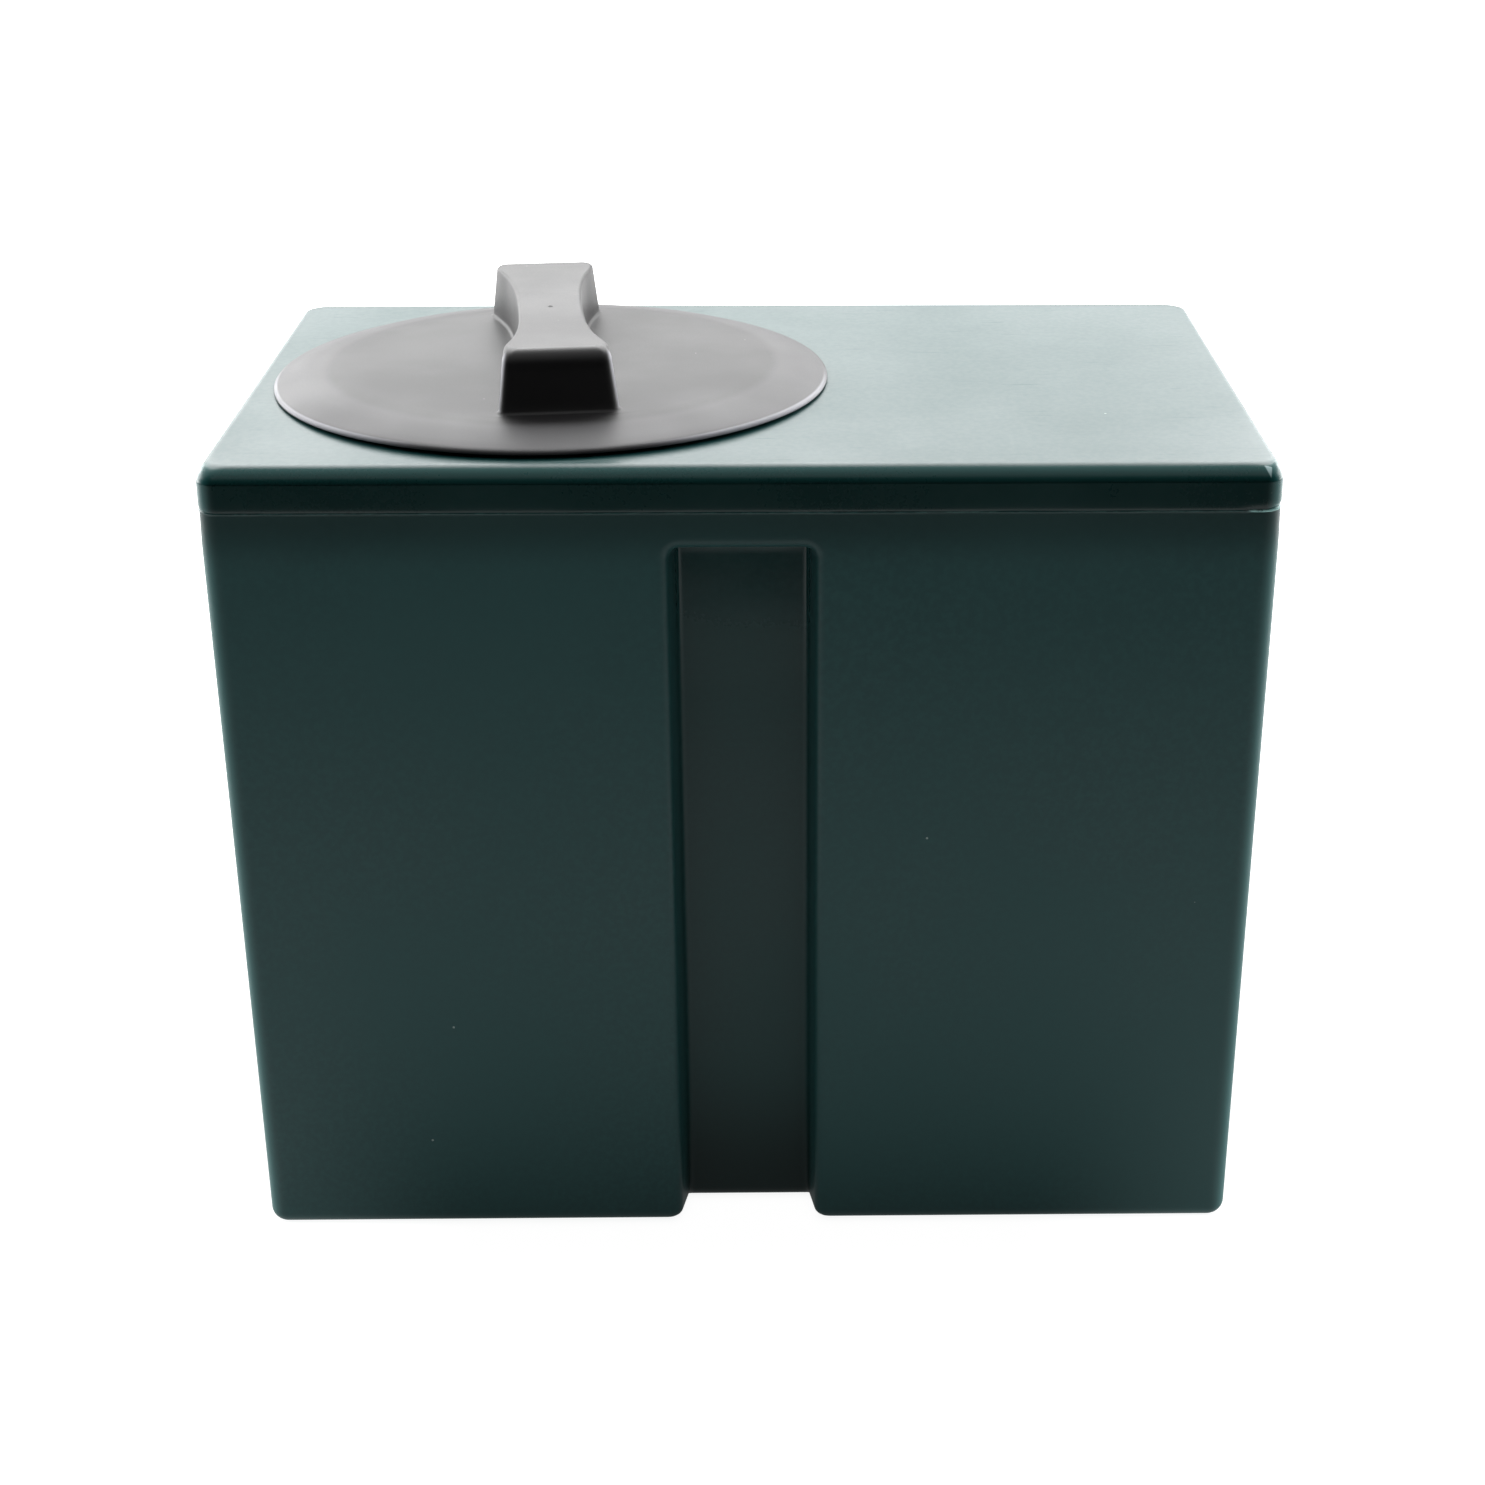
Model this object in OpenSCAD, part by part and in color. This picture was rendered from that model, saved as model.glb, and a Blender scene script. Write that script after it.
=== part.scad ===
// Header tank for poultry and game-bird drinkers.
// Units are millimetres. +Z is up, +X is to the right seen from the grooved front,
// and +Y runs from the grooved front face to the back face that carries the fittings.
// The origin is the centre of the tank's base, on the ground.

/* [Tank] */
// Width of the tank
tank_w = 400; // [380:5:440]
// Depth of the tank, front face to back face
tank_d = 250; // [245:5:280]
// Height of the flat top above the ground
tank_h = 328; // [320:1:350]
// Wall thickness of the moulded shell
wall = 4; // [3:0.5:5]
// Radius of the four upright edges
corner_r = 8.5; // [8.5:0.5:12]
// Radius of the edge round the base
base_edge_r = 8; // [4:0.5:8]
// Radius of the edge round the top
top_edge_r = 4.5; // [2:0.5:5]
// Height of the set-in band between the parting line and the top
band_h = 18; // [12:1:24]
// How far the band is set in on each side
band_inset = 0.4; // [0.2:0.1:1.5]

/* [Stake groove] */
// Width of the groove at the front face
groove_w = 56; // [50:1:64]
// Width of the groove at its floor
groove_floor_w = 49.5; // [44:0.5:50]
// Depth of the groove
groove_depth = 17.5; // [12:0.5:22]
// Height of the groove's closed upper end
groove_top = 300; // [240:1:302]

/* [Neck and lid] */
// Distance of the filling neck to the left of the tank's middle
neck_offset = 78; // [70:1:80]
// Radius of the neck's hole
neck_r = 95; // [94:0.5:95]
// Outer radius of the lid
lid_r = 112; // [108:0.5:114]
// Radius of the crease where the lid's flat middle meets its sloping rim
lid_crease_r = 87; // [84:0.5:89]
// Thickness of the lid
lid_t = 2; // [1.6:0.1:2.4]
// Depth of the lid's skirt below the tank's top
skirt_depth = 14; // [8:1:20]

/* [Handle] */
// Turn of the handle about the lid's middle, in degrees
handle_turn = 6.5; // [0:0.5:30]
// Length of the handle at its top
handle_top_l = 144; // [130:1:148]
// Width of the handle's ends at its top
handle_top_w = 37; // [34:0.5:40]
// Width of the handle's waist at its top
waist_w = 25.2; // [24:0.2:28]
// Height of the handle above the tank's top
handle_rise = 30.5; // [24:0.5:34]
// Slope of the handle's sides, in degrees from upright
handle_draft = 10; // [4:0.5:12]
// Wall thickness of the hollow handle
handle_wall = 3; // [2:0.5:3.5]

/* [Float valve] */
// Distance of the valve to the right of the tank's middle
valve_x = 100; // [90:1:120]
// Height of the valve's axis
valve_z = 288; // [280:1:290]
// Radius of the half-inch pipe thread on the valve's tail
inlet_r = 10.48; // [10.4:0.01:10.5]
// Radius of the float
float_r = 38; // [30:1:40]
// Distance from the arm's pivot to the middle of the float
arm_reach = 128; // [120:1:132]
// Swing of the arm from hanging to shut, in degrees
arm_swing = 36; // [24:1:40]

/* [Outlet tap] */
// Distance of the outlet to the left of the tank's middle
outlet_offset = 78; // [60:1:140]
// Height of the outlet's axis
outlet_z = 32; // [30:1:60]
// Radius of the three-quarter-inch thread on the tank connector
connector_r = 13.2; // [13:0.05:13.3]
// Radius of the hose tail's plain end
hose_tail_r = 6.4; // [6:0.1:7]
// Length of the tap's lever, from its screw to its tip
lever_l = 56; // [40:1:64]

/* [Hidden] */
$fn = 72;
eps = 0.5;                                   // how far a cutter runs past the face it cuts

inner_w = tank_w - 2 * wall;
inner_d = tank_d - 2 * wall;
parting_z = tank_h - band_h;
back_in_y = tank_d / 2 - wall;               // inner face of the back wall

collar_w = 4;                                // raised collar round the neck
collar_h = 3.4;
seat_gap = 0.1;                              // between the collar and the lid that rests on it
rim_top = 3;                                 // heights on the lid, above the tank's top
rim_bottom = 1.1;
plate_z = 7.4;                               // top of the lid's flat middle
skirt_r = neck_r - 1.5;
seat_flat_r = neck_r + 6;                    // outer radius of the flat ring that rests on the collar

thread_gap = 0.1;                            // radial play of a nut or washer on its thread
running_gap = 0.08;                          // radial play of a turning or sliding fit

// Float valve, measured along its axis from the inner face of the back wall.
washer_t = 2;
inlet_nut_t = 7;
inlet_nut_af = 27;                           // across the flats
inlet_washer_r = 15;
tail_out = 51;                               // outer end of the tail
tail_in = -21;
valve_shoulder_in = -29;
valve_end = -63;                             // where the cap's thread starts
cap_thread_end = -71;
cap_end = -76;
valve_r = 10.5;
cap_thread_r = 9.2;
piston_bore_r = 7.5;
waterway_r = 4.5;
relief_y = [13.5, 15];                       // relief between the nut's thread and the free thread
nozzle_tip = -37;
nozzle_orifice_r = 1.6;
discharge_y = -41;
discharge_r = 3.5;
pivot_y = -54;
pivot_drop = 14;                             // pivot below the valve's axis
cam_reach = 10;                              // pivot to the middle of the cam
cam_r = 4;
pin_r = 1.6;
lug_gap = 3.3;                               // half the space between the two lugs
lug_t = 3.7;
lug_r = 5;
lever_half = 3;                              // half the thickness of the arm's boss and cam
piston_l = 27;
piston_washer_t = 3;
piston_travel = 2 * cam_reach * sin(arm_swing / 2);
piston_face = nozzle_tip - 0.1 - piston_travel;
arm_boss_r = 4.5;
arm_rod_r = 2.5;
float_skin = 2;
float_near = -(arm_reach - float_r);         // where the arm meets the float, along the arm

// Outlet and tap, measured along the axis from the inner face of the back wall.
flange_r = 21;
flange_t = 4;
outlet_washer_t = 3;
outlet_nut_af = 34;
outlet_nut_t = 9;
outlet_washer_r = 20;
connector_end = 29;
connector_bore_r = 9.5;
socket_in = 16;
tap_barrel_r = 15.5;
tap_end = 61;
chamber_r = 11.6;
chamber_in = 32;
port_r = 8;
ball_y = 43;
ball_r = 11;
ball_bore_r = 7.5;
seat_t = 4.3;
stem_r = 4;
stem_boss_r = 8;
stem_boss_top = 24;
o_ring_z = 18;
o_ring_r = 0.95;
lever_z = 25;
lever_t = 4;
stem_square = 5.6;
tail_hex_out = 66;
tail_plain_in = 82;
tail_tip = 95;
barb_rise = 1.2;

deep_green = [0.05, 0.13, 0.12];
lid_black = [0.09, 0.09, 0.09];
brass = [0.71, 0.57, 0.27];
black_plastic = [0.11, 0.11, 0.12];
rubber_black = [0.06, 0.06, 0.06];
float_orange = [0.83, 0.34, 0.12];
lever_red = [0.66, 0.10, 0.09];
white_plastic = [0.88, 0.88, 0.85];
steel = [0.72, 0.73, 0.75];

// ---- shapes shared by several parts ----

// A cylinder along Y, from y0 to y1
module rod_y(y0, y1, r) {
    translate([0, y0, 0]) rotate([-90, 0, 0]) cylinder(h = y1 - y0, r = r);
}

// A cone along Y, of radius r0 at y0 and r1 at y1
module cone_y(y0, y1, r0, r1) {
    translate([0, y0, 0]) rotate([-90, 0, 0]) cylinder(h = y1 - y0, r1 = r0, r2 = r1);
}

// A ring or tube along Y
module tube_y(y0, y1, r_out, r_in) {
    difference() {
        rod_y(y0, y1, r_out);
        rod_y(y0 - eps, y1 + eps, r_in);
    }
}

// A hexagonal bar along Y, given across its flats
module hex_y(y0, y1, across_flats) {
    translate([0, y0, 0]) rotate([-90, 0, 0])
        cylinder(h = y1 - y0, r = across_flats / 2 / cos(30), $fn = 6);
}

// A cylinder along X, centred on x = 0
module rod_x(length, r) {
    rotate([0, 90, 0]) cylinder(h = length, r = r, center = true);
}

// An upright section w wide and h high, with its upper and lower corners rounded
module rounded_section(w, h, r_top, r_bottom) {
    translate([-w / 2, r_bottom]) square([w, h - r_top - r_bottom]);
    translate([-w / 2 + r_top, h / 2]) square([w - 2 * r_top, h / 2]);
    translate([-w / 2 + r_bottom, 0]) square([w - 2 * r_bottom, h / 2]);
    for (side = [-1, 1]) {
        translate([side * (w / 2 - r_top), h - r_top]) circle(r = r_top);
        translate([side * (w / 2 - r_bottom), r_bottom]) circle(r = r_bottom);
    }
}

// A box standing on z = 0 with rounded upright, top and bottom edges
module rounded_box(w, d, h, r_side, r_top, r_bottom) {
    rotate([90, 0, 0]) linear_extrude(d - 2 * r_side, center = true)
        rounded_section(w, h, r_top, r_bottom);
    rotate([90, 0, 90]) linear_extrude(w - 2 * r_side, center = true)
        rounded_section(d, h, r_top, r_bottom);
    for (x = [-1, 1], y = [-1, 1])
        translate([x * (w / 2 - r_side), y * (d / 2 - r_side), 0])
            rotate_extrude()
                intersection() {
                    rounded_section(2 * r_side, h, r_top, r_bottom);
                    square([r_side, h]);
                }
}

// The space of the stake groove, made bigger all round by grow
module groove_space(grow) {
    face_y = -tank_d / 2;
    floor_y = face_y + groove_depth + grow;
    translate([0, 0, -eps])
        linear_extrude(groove_top + grow + eps)
            polygon([
                [-groove_w / 2 - grow, face_y - eps],
                [groove_w / 2 + grow, face_y - eps],
                [groove_floor_w / 2 + grow, floor_y],
                [-groove_floor_w / 2 - grow, floor_y]
            ]);
}

// ---- tank and lid ----

module tank_outside() {
    rounded_box(tank_w, tank_d, parting_z, corner_r, 0.6, base_edge_r);
    translate([0, 0, parting_z - band_h])
        rounded_box(tank_w - 2 * band_inset, tank_d - 2 * band_inset, 2 * band_h,
                    corner_r - band_inset, top_edge_r, 1);
    translate([-neck_offset, 0, tank_h - wall])
        cylinder(h = wall + collar_h, r = neck_r + collar_w);
}

module tank_inside() {
    difference() {
        translate([0, 0, wall])
            rounded_box(inner_w, inner_d, tank_h - 2 * wall, corner_r - wall, 2.5, 3.5);
        groove_space(wall);
    }
}

module tank_shell() {
    color(deep_green)
    difference() {
        tank_outside();
        tank_inside();
        groove_space(0);
        translate([-neck_offset, 0, tank_h - 2 * wall])
            cylinder(h = 2 * wall + collar_h + eps, r = neck_r);
        translate([valve_x, back_in_y, valve_z]) rod_y(-eps, wall + eps, inlet_r + 0.3);
        translate([-outlet_offset, back_in_y, outlet_z]) rod_y(-eps, wall + eps, connector_r + 0.3);
    }
}

// The handle's outer form when inset is 0, or its hollow when inset is the handle's wall.
// It stands on foot_z, a height above the tank's top.
module handle_form(inset, foot_z) {
    rise = handle_rise - foot_z - inset;
    spread = rise * tan(handle_draft);
    top_half_l = handle_top_l / 2 - inset;
    top_half_w = handle_top_w / 2 - inset;
    waist_half = waist_w / 2 - inset;
    waist_reach = handle_top_l * 0.43;
    waist_depth = (handle_top_w - waist_w) / 2;
    scoop_r = (waist_reach * waist_reach + waist_depth * waist_depth) / (2 * waist_depth);
    translate([0, 0, foot_z])
    difference() {
        intersection() {
            rotate([90, 0, 90]) linear_extrude(4 * handle_top_w, center = true)
                polygon([
                    [-top_half_l - spread, 0], [top_half_l + spread, 0],
                    [top_half_l, rise], [-top_half_l, rise]
                ]);
            rotate([90, 0, 0]) linear_extrude(2 * handle_top_l, center = true)
                polygon([
                    [-top_half_w - spread, 0], [top_half_w + spread, 0],
                    [top_half_w, rise], [-top_half_w, rise]
                ]);
        }
        for (side = [-1, 1])
            translate([side * (waist_half + scoop_r), 0, -eps])
                cylinder(h = rise + 2 * eps,
                         r1 = scoop_r - spread - eps * tan(handle_draft),
                         r2 = scoop_r + eps * tan(handle_draft), $fn = 180);
    }
}

module lid() {
    plate_bottom = plate_z - lid_t;
    color(lid_black)
    translate([-neck_offset, 0, tank_h])
    rotate([0, 0, handle_turn])
    difference() {
        union() {
            rotate_extrude($fn = 144)
                polygon([
                    [0, plate_z], [lid_crease_r, plate_z],
                    [lid_r, rim_top], [lid_r, rim_bottom],
                    [seat_flat_r, collar_h + seat_gap], [skirt_r, collar_h + seat_gap],
                    [skirt_r, -skirt_depth], [skirt_r - lid_t, -skirt_depth],
                    [skirt_r - lid_t, plate_bottom], [0, plate_bottom]
                ]);
            handle_form(0, plate_z - lid_t / 2);
        }
        handle_form(handle_wall, plate_bottom - eps);
    }
}

// ---- float valve in the back wall ----

module at_valve() {
    translate([valve_x, back_in_y, valve_z]) children();
}

module valve_body() {
    color(brass)
    at_valve()
    difference() {
        union() {
            rod_y(tail_in, tail_out - 1, inlet_r);
            cone_y(tail_out - 1, tail_out, inlet_r, inlet_r - 1);
            hex_y(valve_shoulder_in, tail_in, 24);
            rod_y(valve_end, valve_shoulder_in, valve_r);
            rod_y(cap_thread_end, valve_end, cap_thread_r);
            for (side = [-1, 1])
                translate([side * (lug_gap + lug_t / 2), pivot_y, -pivot_drop]) {
                    rod_x(lug_t, lug_r);
                    translate([-lug_t / 2, -lug_r, 0]) cube([lug_t, 2 * lug_r, pivot_drop - 5]);
                }
        }
        rod_y(cap_thread_end - eps, valve_shoulder_in, piston_bore_r);
        rod_y(valve_shoulder_in - eps, tail_out + eps, waterway_r);
        tube_y(relief_y[0], relief_y[1], inlet_r + 1, inlet_r - 0.9);
        translate([-lug_gap, pivot_y - 8, -valve_r - eps]) cube([2 * lug_gap, 16, valve_r]);
        translate([0, discharge_y, -valve_r - eps]) cylinder(h = valve_r, r = discharge_r);
        translate([0, pivot_y, -pivot_drop]) rod_x(4 * lug_t + 2 * lug_gap, pin_r + 0.02);
    }
}

module valve_nozzle() {
    color(white_plastic)
    at_valve()
    difference() {
        union() {
            rod_y(nozzle_tip + 2, valve_shoulder_in, piston_bore_r - 0.05);
            cone_y(nozzle_tip, nozzle_tip + 2, 3, 5);
        }
        rod_y(nozzle_tip - eps, valve_shoulder_in + eps, nozzle_orifice_r);
    }
}

module valve_end_cap() {
    color(brass)
    at_valve()
    difference() {
        union() {
            rod_y(cap_end + 1, valve_end, valve_r);
            cone_y(cap_end, cap_end + 1, valve_r - 1, valve_r);
        }
        rod_y(cap_end + 3, valve_end + eps, cap_thread_r + thread_gap);
        translate([-1, cap_end - eps, -valve_r]) cube([2, 1.5 + eps, 2 * valve_r]);
    }
}

module valve_piston() {
    slot_y = pivot_y - cam_reach * sin(arm_swing / 2);
    slot_half = cam_r + 0.2;
    color(brass)
    at_valve()
    difference() {
        rod_y(piston_face - piston_l, piston_face, piston_bore_r - running_gap);
        rod_y(piston_face - piston_washer_t, piston_face + eps, piston_bore_r - 1.5);
        translate([-lever_half - 0.3, slot_y - slot_half, -piston_bore_r - eps])
            cube([2 * lever_half + 0.6, 2 * slot_half, piston_bore_r + eps + 1.5]);
    }
}

module piston_washer() {
    color(rubber_black)
    at_valve() rod_y(piston_face - piston_washer_t, piston_face, piston_bore_r - 1.55);
}

module arm_pivot_pin() {
    reach = lug_gap + lug_t;
    color(steel)
    at_valve()
    translate([0, pivot_y, -pivot_drop]) {
        translate([0.5, 0, 0]) rod_x(2 * reach + 3, pin_r);
        translate([-reach - 1, 0, 0]) rod_x(1.4, 2.8);
    }
}

// The arm hangs at its lower stop, so the whole arm is swung down by arm_swing
module at_arm() {
    at_valve() translate([0, pivot_y, -pivot_drop]) rotate([arm_swing, 0, 0]) children();
}

module float_arm() {
    cam_lean = arm_swing / 2;
    color(brass)
    at_arm()
    difference() {
        union() {
            rotate([90, 0, 90]) linear_extrude(2 * lever_half, center = true) {
                circle(r = arm_boss_r);
                rotate(-cam_lean) {
                    translate([0, cam_reach]) circle(r = cam_r);
                    translate([-2.5, 0]) square([5, cam_reach]);
                }
            }
            rod_y(float_near - 11, -arm_boss_r + 1, arm_rod_r);
        }
        rod_x(4 * lever_half, pin_r + running_gap);
    }
}

module float_ball() {
    seam_r = float_r + 0.8;
    color(float_orange)
    at_arm()
    difference() {
        union() {
            translate([0, -arm_reach, 0]) sphere(r = float_r, $fn = 96);
            rod_y(-arm_reach - 0.8, -arm_reach + 0.8, seam_r);
            rod_y(float_near - 6, float_near + 4, 7);
        }
        difference() {
            translate([0, -arm_reach, 0]) sphere(r = float_r - float_skin, $fn = 96);
            rod_y(float_near - 14, float_near + 4, 6);
        }
        rod_y(float_near - 15, float_near + 5, arm_rod_r + 0.05);
    }
}

module float_lock_nut() {
    color(brass)
    at_arm()
    difference() {
        hex_y(float_near + 4, float_near + 8, 10);
        rod_y(float_near + 3, float_near + 9, arm_rod_r + thread_gap);
    }
}

module inlet_inner_washer() {
    color(rubber_black)
    at_valve() tube_y(-washer_t, 0, inlet_washer_r, inlet_r + thread_gap);
}

module inlet_outer_washer() {
    color(rubber_black)
    at_valve() tube_y(wall, wall + washer_t, inlet_washer_r, inlet_r + thread_gap);
}

module inlet_nut(y0) {
    color(brass)
    at_valve()
    difference() {
        hex_y(y0, y0 + inlet_nut_t, inlet_nut_af);
        rod_y(y0 - eps, y0 + inlet_nut_t + eps, inlet_r + thread_gap);
    }
}

module inlet_inner_nut() {
    inlet_nut(-washer_t - inlet_nut_t);
}

module inlet_outer_nut() {
    inlet_nut(wall + washer_t);
}

// ---- outlet and tap low in the back wall ----

module at_outlet() {
    translate([-outlet_offset, back_in_y, outlet_z]) children();
}

module outlet_connector() {
    color(black_plastic)
    at_outlet()
    difference() {
        union() {
            rod_y(-outlet_washer_t - flange_t, -outlet_washer_t, flange_r);
            rod_y(-outlet_washer_t - eps, connector_end, connector_r);
        }
        rod_y(-outlet_washer_t - flange_t - eps, connector_end + eps, connector_bore_r);
    }
}

module outlet_inner_washer() {
    color(rubber_black)
    at_outlet() tube_y(-outlet_washer_t, 0, flange_r, connector_r + thread_gap);
}

module outlet_outer_washer() {
    color(rubber_black)
    at_outlet() tube_y(wall, wall + washer_t, outlet_washer_r, connector_r + thread_gap);
}

module outlet_back_nut() {
    y0 = wall + washer_t;
    color(black_plastic)
    at_outlet()
    difference() {
        union() {
            hex_y(y0, y0 + outlet_nut_t, outlet_nut_af);
            rod_y(y0, y0 + 2, outlet_washer_r + 1);
        }
        rod_y(y0 - eps, y0 + outlet_nut_t + eps, connector_r + thread_gap);
    }
}

module tap_body() {
    color(black_plastic)
    at_outlet()
    difference() {
        union() {
            hex_y(socket_in, connector_end + 1, 33);
            rod_y(connector_end + 1, tap_end, tap_barrel_r);
            translate([0, ball_y, 0]) cylinder(h = stem_boss_top, r = stem_boss_r);
            hex_y(tap_end - 7, tap_end, 30);
        }
        rod_y(socket_in - eps, connector_end, connector_r + thread_gap);
        rod_y(connector_end - eps, chamber_in + eps, port_r);
        rod_y(chamber_in, tap_end + eps, chamber_r);
        translate([0, ball_y, 5]) cylinder(h = stem_boss_top, r = stem_r + running_gap);
        translate([0, ball_y, o_ring_z - 1.05]) cylinder(h = 2.1, r = stem_r + 2.15);
    }
}

module tap_ball() {
    color(steel)
    at_outlet()
    translate([0, ball_y, 0])
    difference() {
        sphere(r = ball_r);
        rod_x(3 * ball_r, ball_bore_r);
        translate([-2.1, -5.1, ball_r - 2.4]) cube([4.2, 10.2, 3]);
    }
}

// A ring that hugs the ball, on its inlet side (-1) or its outlet side (1)
module tap_seat(side) {
    far = ball_y - chamber_in - 0.2;
    y0 = side < 0 ? ball_y - far : ball_y + far - seat_t;
    color(white_plastic)
    at_outlet()
    difference() {
        rod_y(y0, y0 + seat_t, chamber_r - 0.1);
        rod_y(y0 - eps, y0 + seat_t + eps, ball_bore_r);
        translate([0, ball_y, 0]) sphere(r = ball_r + 0.1);
    }
}

module tap_seat_inner() {
    tap_seat(-1);
}

module tap_seat_outer() {
    tap_seat(1);
}

module tap_stem() {
    color(steel)
    at_outlet()
    translate([0, ball_y, 0])
    difference() {
        union() {
            translate([0, 0, ball_r + 0.2]) cylinder(h = lever_z - ball_r - 0.2, r = stem_r);
            intersection() {
                translate([-2, -5, ball_r - 2.3]) cube([4, 10, 3]);
                translate([0, 0, ball_r - 2.3]) cylinder(h = 3, r = stem_r);
            }
            translate([-stem_square / 2, -stem_square / 2, lever_z - eps])
                cube([stem_square, stem_square, lever_t + eps - 0.1]);
        }
        translate([0, 0, lever_z - 5]) cylinder(h = 12, r = 1.5);
    }
}

module stem_o_ring() {
    color(rubber_black)
    at_outlet()
    translate([0, ball_y, o_ring_z])
    rotate_extrude() translate([stem_r + 0.1 + o_ring_r, 0]) circle(r = o_ring_r, $fn = 32);
}

module tap_lever() {
    hole = stem_square + 0.1;
    color(lever_red)
    at_outlet()
    translate([0, ball_y, lever_z])
    difference() {
        union() {
            cylinder(h = lever_t, r = 9);
            linear_extrude(lever_t) {
                translate([0, -6]) square([lever_l - 6, 12]);
                translate([lever_l - 6, 0]) circle(r = 6);
            }
            translate([lever_l - 10, -6, -3]) cube([3, 12, 4]);
        }
        translate([-hole / 2, -hole / 2, -eps]) cube([hole, hole, lever_t + 2 * eps]);
    }
}

module lever_screw() {
    head_z = lever_z + lever_t;
    color(steel)
    at_outlet()
    translate([0, ball_y, 0])
    difference() {
        union() {
            translate([0, 0, head_z]) cylinder(h = 2.4, r = 5.2);
            translate([0, 0, lever_z - 4]) cylinder(h = lever_t + 4 + eps, r = 1.45);
        }
        translate([-4.2, -0.6, head_z + 1.2]) cube([8.4, 1.2, 2]);
        translate([-0.6, -4.2, head_z + 1.2]) cube([1.2, 8.4, 2]);
    }
}

module hose_tail() {
    insert_in = ball_y + (ball_y - chamber_in);
    color(black_plastic)
    at_outlet()
    difference() {
        union() {
            rod_y(insert_in, tap_end, chamber_r - 0.1);
            hex_y(tap_end, tail_hex_out, 26);
            rod_y(tail_hex_out - eps, tail_tip - 1, hose_tail_r);
            cone_y(tail_tip - 1, tail_tip, hose_tail_r, hose_tail_r - 1);
            for (y0 = [tail_hex_out + 3, tail_hex_out + 9.5])
                cone_y(y0, y0 + 6.5, hose_tail_r + barb_rise, hose_tail_r);
        }
        rod_y(insert_in - eps, tap_end, port_r);
        rod_y(tap_end - eps, tail_tip + eps, hose_tail_r - 1.7);
    }
}

tank_shell();
lid();
valve_body();
valve_nozzle();
valve_end_cap();
valve_piston();
piston_washer();
arm_pivot_pin();
float_arm();
float_ball();
float_lock_nut();
inlet_inner_washer();
inlet_outer_washer();
inlet_inner_nut();
inlet_outer_nut();
outlet_connector();
outlet_inner_washer();
outlet_outer_washer();
outlet_back_nut();
tap_body();
tap_ball();
tap_seat_inner();
tap_seat_outer();
tap_stem();
stem_o_ring();
tap_lever();
lever_screw();
hose_tail();
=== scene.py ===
"""A header tank for poultry drinkers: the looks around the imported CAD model.

Shapes are worked out in millimetres in the row frame and become metres in make_piece.
+Z is up, +X is to the right seen from the grooved front, +Y runs to the back wall that
carries the fittings, and the origin is the middle of the base, on the ground.
"""

import math

import bpy
import numpy as np
from mathutils import Matrix, Vector, noise


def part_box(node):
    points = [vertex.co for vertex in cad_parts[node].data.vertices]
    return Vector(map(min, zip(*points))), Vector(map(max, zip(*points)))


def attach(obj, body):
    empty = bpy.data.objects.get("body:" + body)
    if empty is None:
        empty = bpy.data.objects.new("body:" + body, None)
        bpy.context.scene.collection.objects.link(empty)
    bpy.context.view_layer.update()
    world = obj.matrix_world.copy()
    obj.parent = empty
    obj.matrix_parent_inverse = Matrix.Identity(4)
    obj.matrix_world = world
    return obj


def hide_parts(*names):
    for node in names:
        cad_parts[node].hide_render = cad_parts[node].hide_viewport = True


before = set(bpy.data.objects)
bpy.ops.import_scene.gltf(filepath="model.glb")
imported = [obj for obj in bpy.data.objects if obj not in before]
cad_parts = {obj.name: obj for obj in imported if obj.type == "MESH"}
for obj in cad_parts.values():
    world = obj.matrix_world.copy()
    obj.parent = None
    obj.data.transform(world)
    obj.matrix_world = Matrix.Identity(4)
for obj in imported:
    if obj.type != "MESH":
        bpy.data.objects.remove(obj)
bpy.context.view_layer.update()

MM = 0.001

# ---- sizes, in millimetres; the tank's and lid's outer sizes from the CAD nodes' boxes ----

_, tank_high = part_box("tank_shell")
lid_low, lid_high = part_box("lid")
COLLAR_H = 3.4
HALF_W = tank_high.x / MM
HALF_D = tank_high.y / MM
TOP = tank_high.z / MM - COLLAR_H
LID_X = (lid_low.x + lid_high.x) / 2 / MM
LID_Y = (lid_low.y + lid_high.y) / 2 / MM
LID_R = (lid_high.x - lid_low.x) / 2 / MM

WALL = 4.0
CORNER_R = 8.5
BASE_R = 6.1
SIDE_TOP_R = 4.0         # the deck edge is rounded less on the left and right
TOP_R = 7.6
PARTING = TOP - 16.8
BAND_LEAN = 0.15         # how far the band leans in towards the top
GROOVE_HALF = 27.9
GROOVE_FLOOR_HALF = 24.7
GROOVE_DEPTH = 17.5
GROOVE_TOP = 297.6
GROOVE_PLAN_R = 5.0
NECK_R = 95.0
COLLAR_R = 99.0
HANDLE_TURN = math.radians(6.5)
WAVE_DEPTH = 0.15
WAVE_SIZE = 85.0
SKIN_BACK = 0.03         # keeps the waves inside the CAD box
TAPER = 0.9              # how much narrower the foot is than the parting line, on each side
LINE_BACK = 0.30         # the skin sinks this much towards the parting line, whose flash stands up
INLET_HOLE_R = 10.78
OUTLET_HOLE_R = 13.5

# flaws at the front: the torn flash, the notch and the nick on the parting line, and the chip
TORN_X = HALF_W - 9
NOTCH_X = HALF_W - 1.5
NICK_X = -HALF_W + 1
CHIP_BACK = 5.4          # from the right wall to the middle of the chip
CHIP_DROP = TOP_R * 0.36
CHIP_FACING = (0.30, -0.68, 0.67)


# ---- small helpers for the shapes ----

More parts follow.
